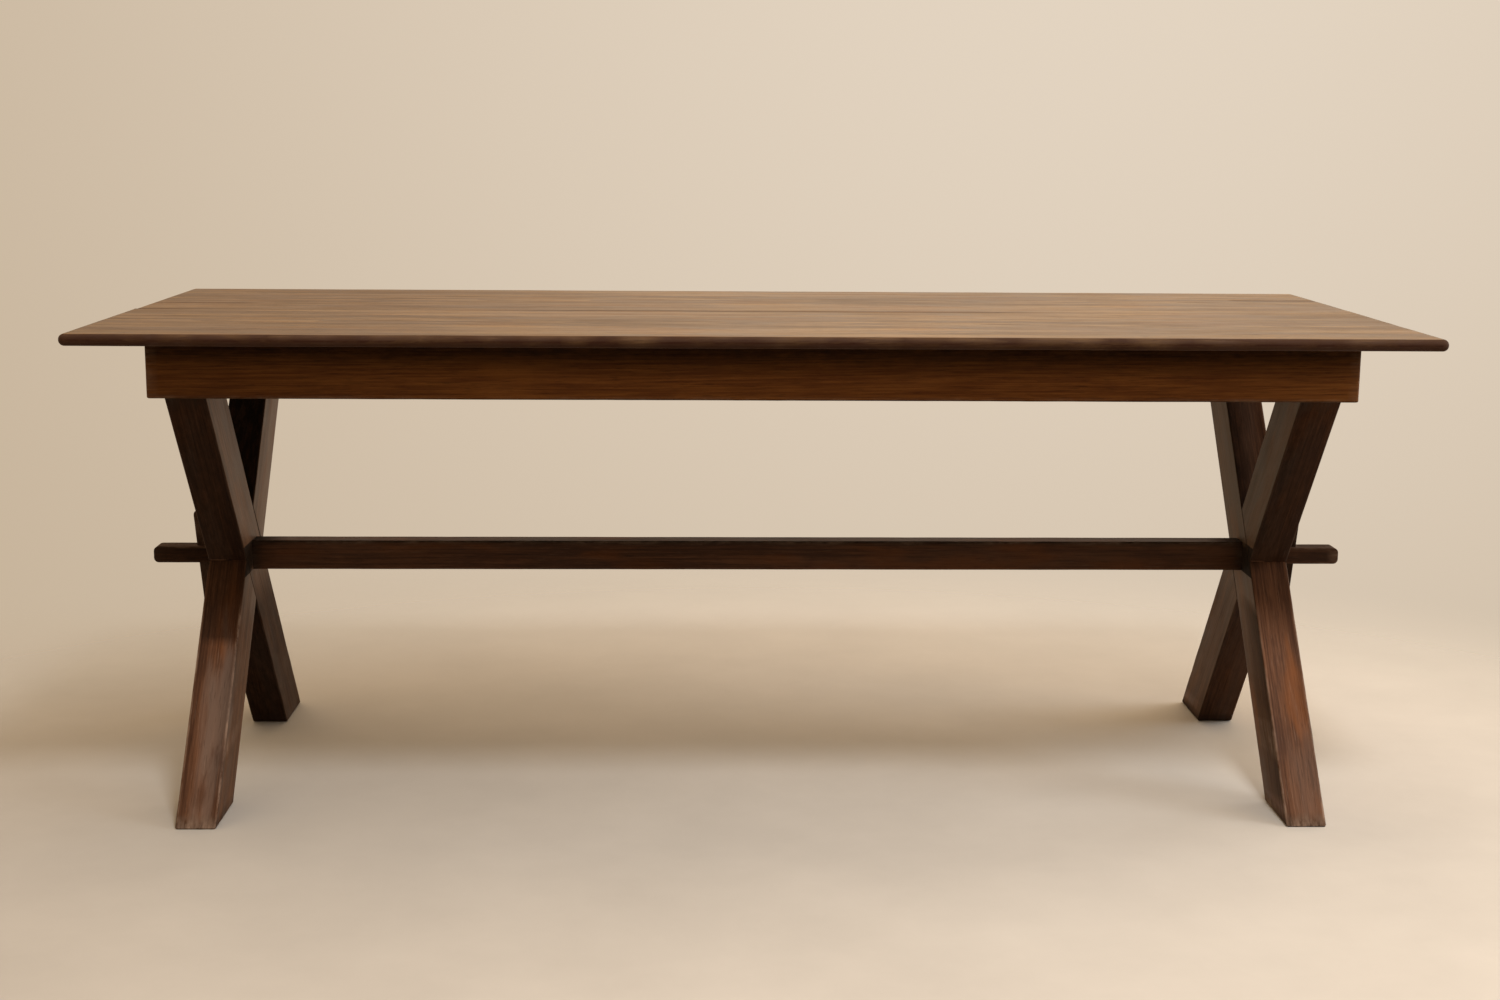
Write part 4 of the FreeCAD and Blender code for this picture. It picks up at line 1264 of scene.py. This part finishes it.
class TABLE_OT_wedges(bpy.types.Operator):
    """Builds the two tapered keys"""

    bl_idname = "table.wedges"
    bl_label = "Wedges"

    head_radius = 10 * MM
    corner_radius = 2 * MM
    arris = 1.2 * MM
    station = 12 * MM
    # How much darker the wedges are, and how pale their arrises get, from wear and a painted
    # highlight.
    darkening = 0.86
    wear_and_highlight = 0.4

    def shape(self, bm, side, low, high):
        """A key drawn from the front, upright against the trestle and sloping outside."""
        outline = [
            (TRESTLE_FACE, low.z), (wedge_reach(low.z), low.z),
            (wedge_reach(high.z), high.z), (TRESTLE_FACE, high.z),
        ]
        bm.faces.new([bm.verts.new((side * x, low.y, z)) for x, z in outline])
        push(bm, bm.faces[:], (0, high.y - low.y, 0), hollow=False)
        bmesh.ops.recalc_face_normals(bm, faces=bm.faces[:])
        head = [
            edge for edge in bm.edges
            if abs(direction(edge).y) > ALONG and middle(edge).z > high.z - TOLERANCE
            and abs(middle(edge).x) > TRESTLE_FACE + WEDGE_WIDTH / 2
        ]
        bevel(bm, head, self.head_radius, 6)
        corners = [
            edge for edge in bm.edges
            if abs(direction(edge).y) > ALONG and edge.calc_face_angle() > math.radians(45)
        ]
        bevel(bm, corners, self.corner_radius, 2)
        bm.normal_update()
        rim = [
            edge for edge in bm.edges
            if any(abs(face.normal.y) > ALONG for face in edge.link_faces)
            and any(abs(face.normal.y) < ACROSS for face in edge.link_faces)
        ]
        bevel(bm, rim, self.arris, 2)
        slice_across(bm, 2, rows(low.z, high.z, self.station))

    def execute(self, context):
        for side, name in ((-1, "left_wedge"), (1, "right_wedge")):
            low, high = box_of(name)
            bm = bmesh.new()
            self.shape(bm, side, low, high)
            age(bm, lambda vert: self.darkening, self.wear_and_highlight)
            material = timber(
                f"{name}_brushed_varnish", "leg",
                (0.02 * side, 0.01, 1), (side * 0.93, 0.02, 0.4), BRUSHED_VARNISH,
            )
            add_piece(bm, f"{name}_key", name, material, "wedge_timber", name)
        return {"FINISHED"}


class TABLE_OT_fittings(bpy.types.Operator):
    """Finishes the timbers and screws that the top hides"""

    bl_idname = "table.fittings"
    bl_label = "Hidden timbers and screws"

    # The grain of the first runs along the table, and that of the second across it.
    lengthwise = ("top_spline", "top_buttons", "bearer_pegs")
    crosswise = ("bearer_left", "bearer_right", "batten_left", "batten_middle", "batten_right")
    screws = ("button_screws", "batten_screws", "bearer_screws")
    # From the middle of a timber to its pith.
    to_pith = Vector((-0.03, -0.03, -0.05))

    def execute(self, context):
        finishes = dict.fromkeys(self.screws, turned_steel())
        for name in (*self.lengthwise, *self.crosswise):
            grain = (1, 0.004, 0.01) if name in self.lengthwise else (0.004, 1, 0.01)
            pith = sum(box_of(name), Vector()) / 2 + self.to_pith
            finishes[name] = timber(f"{name}_planed_timber", "inner", grain, pith, BARE)
        for name, material in finishes.items():
            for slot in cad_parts[name].material_slots:
                slot.material = material
        return {"FINISHED"}


class TABLE_OT_studio(bpy.types.Operator):
    """Sets up the floor, the lamps, the background and the camera"""

    bl_idname = "table.studio"
    bl_label = "Studio"

    # Camera: place, the turn of its view about the vertical, its tilt below the level, its roll
    # and its lens.
    camera_place = (-99.8 * MM, -3423.1 * MM, 1069.8 * MM)
    camera_yaw = math.radians(-1.648)
    camera_pitch = math.radians(10.306)
    camera_roll = math.radians(0.417)
    lens = 50.39

    floor_radius = 8.0
    # The middle of the part of the floor that shows, and how far from it the floor starts to fade
    # into the background and is gone.
    floor_middle = (0, -0.8, 0)
    fade_start = 1.4
    fade_end = 2.6

    # Lamps: where each stands, the point at which it shines, and its size.
    lamps = {
        "key": ((0.88, -2.55, 4.56), (0, 0, 0.4), (0.8, 0.8)),
        "overhead": ((0, 0.3, 4.2), (0, 0.3, 0), (5.0, 3.6)),
        "side": ((3.8, 1.6, 0.9), (-0.4, 0, 0.35), (1.6, 1.4)),
        "window": ((9.0, -1.6, 3.9), (0, 0, 0.2), (4.2, 3.8)),
    }

    # The background is brightest in this direction, and its edge shade lies this far from it.
    bright_heading = (0.20, 0.97, 0.14)
    bright_reach = 0.82
    # The light from all round is weaker from the front, and stronger from the rear and the right:
    # its shares at the front and the rear, and what the left and the right add.
    front_light = 0.2
    rear_light = 1.3
    left_light = -0.05
    right_light = 0.32
    # The floor is painted darker on the left, a painted shade for light that falls off that way: the
    # place at which it is darkest and that at which it is at its lightest, and the two shares of its
    # shade.
    floor_dusk = (-1.8, 1.0)
    floor_dusk_shades = (0.72, 1.0)
    # Clouds in the plaster: their size, and the shades between which they change.
    cloud_size = 0.3
    cloud_shades = (0.93, 1.05)
    # Less of the floor's light reaches the table than a floor this pale would throw up.
    floor_bounce = 0.3

    def camera(self, scene):
        """The camera, level with a person who stands back from the table."""
        data = bpy.data.cameras.new("camera")
        data.lens = self.lens
        data.sensor_width = 36
        data.clip_end = 60
        camera = bpy.data.objects.new("camera", data)
        turn = (
            Matrix.Rotation(self.camera_yaw, 4, "Z")
            @ Matrix.Rotation(math.radians(90) - self.camera_pitch, 4, "X")
            @ Matrix.Rotation(self.camera_roll, 4, "Z")
        )
        camera.matrix_world = Matrix.Translation(self.camera_place) @ turn
        scene.collection.objects.link(camera)
        scene.camera = camera

    def lamp(self, scene, name, stand, power, shade):
        """A soft rectangular lamp that shines from a place at a target."""
        place, target, size = stand
        data = bpy.data.lights.new(name, "AREA")
        data.shape = "RECTANGLE"
        data.size, data.size_y = size
        data.energy = power
        data.color = shade
        lamp = bpy.data.objects.new(name, data)
        aim = (Vector(target) - Vector(place)).to_track_quat("-Z", "Y")
        lamp.matrix_world = Matrix.LocRotScale(Vector(place), aim, None)
        lamp.visible_camera = False
        scene.collection.objects.link(lamp)

    def floor(self, scene, colours):
        """A pale trowelled floor that fades into the background."""
        bm = bmesh.new()
        bmesh.ops.create_circle(bm, cap_ends=True, segments=96, radius=self.floor_radius)
        mesh = bpy.data.meshes.new("floor")
        bm.to_mesh(mesh)
        bm.free()
        floor = bpy.data.objects.new("floor", mesh)
        scene.collection.objects.link(floor)
        floor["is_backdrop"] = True

        # Trowelled plaster: dull, with cloudy patches.
        material, output = new_material("trowelled_plaster")
        tree = material.node_tree
        place = node(tree, "ShaderNodeTexCoord").outputs["Object"]
        cloud = node(
            tree, "ShaderNodeTexNoise",
            {"Vector": place, "Scale": 1 / self.cloud_size, "Detail": 8, "Roughness": 0.62},
        ).outputs["Fac"]
        darkest, lightest = self.cloud_shades
        shade = node(
            tree, "ShaderNodeMapRange",
            {
                "Value": cloud, "From Min": 0.25, "From Max": 0.75,
                "To Min": darkest, "To Max": lightest,
            },
        ).outputs["Result"]
        across = node(tree, "ShaderNodeSeparateXYZ", {0: place}).outputs["X"]
        left, right = self.floor_dusk
        darkest, lightest = self.floor_dusk_shades
        dusk = node(
            tree, "ShaderNodeMapRange",
            {
                "Value": across, "From Min": left, "From Max": right,
                "To Min": darkest, "To Max": lightest,
            },
            interpolation_type="SMOOTHSTEP",
        ).outputs["Result"]
        shade = node(tree, "ShaderNodeMath", {0: shade, 1: dusk}, operation="MULTIPLY").outputs[0]
        pale = node(
            tree, "ShaderNodeMix", {"Factor": 1.0, MIX_A: opaque(colours.floor), MIX_B: shade},
            data_type="RGBA", blend_type="MULTIPLY",
        ).outputs[MIX_RESULT]
        seen = node(
            tree, "ShaderNodeBsdfPrincipled",
            {"Base Color": pale, "Roughness": 0.85, "Specular IOR Level": 0.2},
        )
        dim = opaque([self.floor_bounce * part for part in colours.floor])
        bounced = node(tree, "ShaderNodeBsdfDiffuse", {"Color": dim})
        near = node(
            tree, "ShaderNodeMixShader",
            {0: shown_rays(tree), 1: bounced.outputs[0], 2: seen.outputs[0]},
        )
        distance = node(
            tree, "ShaderNodeVectorMath", {0: place, 1: self.floor_middle}, operation="DISTANCE"
        ).outputs["Value"]
        fade = node(
            tree, "ShaderNodeMapRange",
            {"Value": distance, "From Min": self.fade_start, "From Max": self.fade_end},
            interpolation_type="SMOOTHSTEP",
        ).outputs["Result"]
        far = node(tree, "ShaderNodeBsdfTransparent")
        whole = node(tree, "ShaderNodeMixShader", {0: fade, 1: near.outputs[0], 2: far.outputs[0]})
        tree.links.new(whole.outputs[0], output.inputs["Surface"])
        mesh.materials.append(material)

    def background(self, scene, sizes, colours):
        """A pale background that is brightest at one place, and a weaker light from all round."""
        world = bpy.data.worlds.new("studio")
        world.use_nodes = True
        tree = world.node_tree
        tree.nodes.clear()
        heading = node(tree, "ShaderNodeTexCoord").outputs["Generated"]
        parts = node(tree, "ShaderNodeSeparateXYZ", {0: heading}).outputs
        # The shares of the light: an axis, between which headings along it the share changes, and
        # its least and its most.
        to_side, to_rear, past_rear = (
            node(
                tree, "ShaderNodeMapRange",
                {
                    "Value": parts[axis], "From Min": start, "From Max": end,
                    "To Min": least, "To Max": most,
                },
            ).outputs["Result"]
            for axis, start, end, least, most in (
                ("X", -1.0, 1.0, self.left_light, self.right_light),
                ("Y", -0.9, 0.0, self.front_light, 1.0),
                ("Y", 0.0, 0.9, 0.0, self.rear_light - 1),
            )
        )
        strength = to_side
        for other, operation in (
            (to_rear, "ADD"), (past_rear, "ADD"), (sizes.ambient, "MULTIPLY"),
        ):
            strength = node(
                tree, "ShaderNodeMath", {0: strength, 1: other}, operation=operation
            ).outputs[0]
        light = node(
            tree, "ShaderNodeBackground",
            {"Color": opaque(colours.room_light), "Strength": strength},
        )
        away = node(
            tree, "ShaderNodeVectorMath", {0: heading, 1: self.bright_heading},
            operation="DISTANCE",
        ).outputs["Value"]
        edge = node(
            tree, "ShaderNodeMapRange",
            {"Value": away, "From Min": 0.0, "From Max": self.bright_reach},
            interpolation_type="SMOOTHSTEP",
        ).outputs["Result"]
        shade = node(
            tree, "ShaderNodeMix",
            {"Factor": edge, MIX_A: opaque(colours.backdrop), MIX_B: opaque(colours.backdrop_edge)},
            data_type="RGBA",
        ).outputs[MIX_RESULT]
        wall = node(tree, "ShaderNodeBackground", {"Color": shade, "Strength": 1.0})
        mix = node(
            tree, "ShaderNodeMixShader",
            {0: shown_rays(tree), 1: light.outputs[0], 2: wall.outputs[0]},
        )
        node(tree, "ShaderNodeOutputWorld", {"Surface": mix.outputs[0]})
        scene.world = world

    def execute(self, context):
        scene = context.scene
        sizes = scene.table_sizes
        colours = scene.table_colours
        self.camera(scene)
        for name, stand in self.lamps.items():
            shade = colours.window_light if name == "window" else colours.lamp_light
            self.lamp(scene, name, stand, getattr(sizes, f"{name}_power"), shade)
        self.floor(scene, colours)
        self.background(scene, sizes, colours)
        scene.view_settings.view_transform = "Standard"
        return {"FINISHED"}


OPERATORS = (
    TABLE_OT_studio, TABLE_OT_top, TABLE_OT_aprons, TABLE_OT_legs,
    TABLE_OT_stretcher, TABLE_OT_wedges, TABLE_OT_fittings,
)


class TABLE_PT_panel(bpy.types.Panel):
    """Lists the operators that build the table, and its sizes and colours"""

    bl_idname = "TABLE_PT_panel"
    bl_label = "Sawbuck table"
    bl_space_type = "VIEW_3D"
    bl_region_type = "UI"
    bl_category = "Table"

    def draw(self, context):
        for operator in OPERATORS:
            self.layout.operator(operator.bl_idname)
        for group in (context.scene.table_sizes, context.scene.table_colours):
            for name in group.__annotations__:
                self.layout.prop(group, name)


CLASSES = (TableSizes, TableColours, *OPERATORS, TABLE_PT_panel)


def register():
    for kind in CLASSES:
        bpy.utils.register_class(kind)
    bpy.types.Scene.table_sizes = PointerProperty(type=TableSizes)
    bpy.types.Scene.table_colours = PointerProperty(type=TableColours)


def unregister():
    del bpy.types.Scene.table_colours
    del bpy.types.Scene.table_sizes
    for kind in reversed(CLASSES):
        bpy.utils.unregister_class(kind)


def main():
    """Builds everything."""
    register()
    for operator in OPERATORS:
        category, name = operator.bl_idname.split(".")
        getattr(getattr(bpy.ops, category), name)()
    boxes = {"cad": CAD_BOX, "visual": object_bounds()}
    plain = {name: [list(map(float, corner)) for corner in box] for name, box in boxes.items()}


if __name__ == "__main__":
    main()
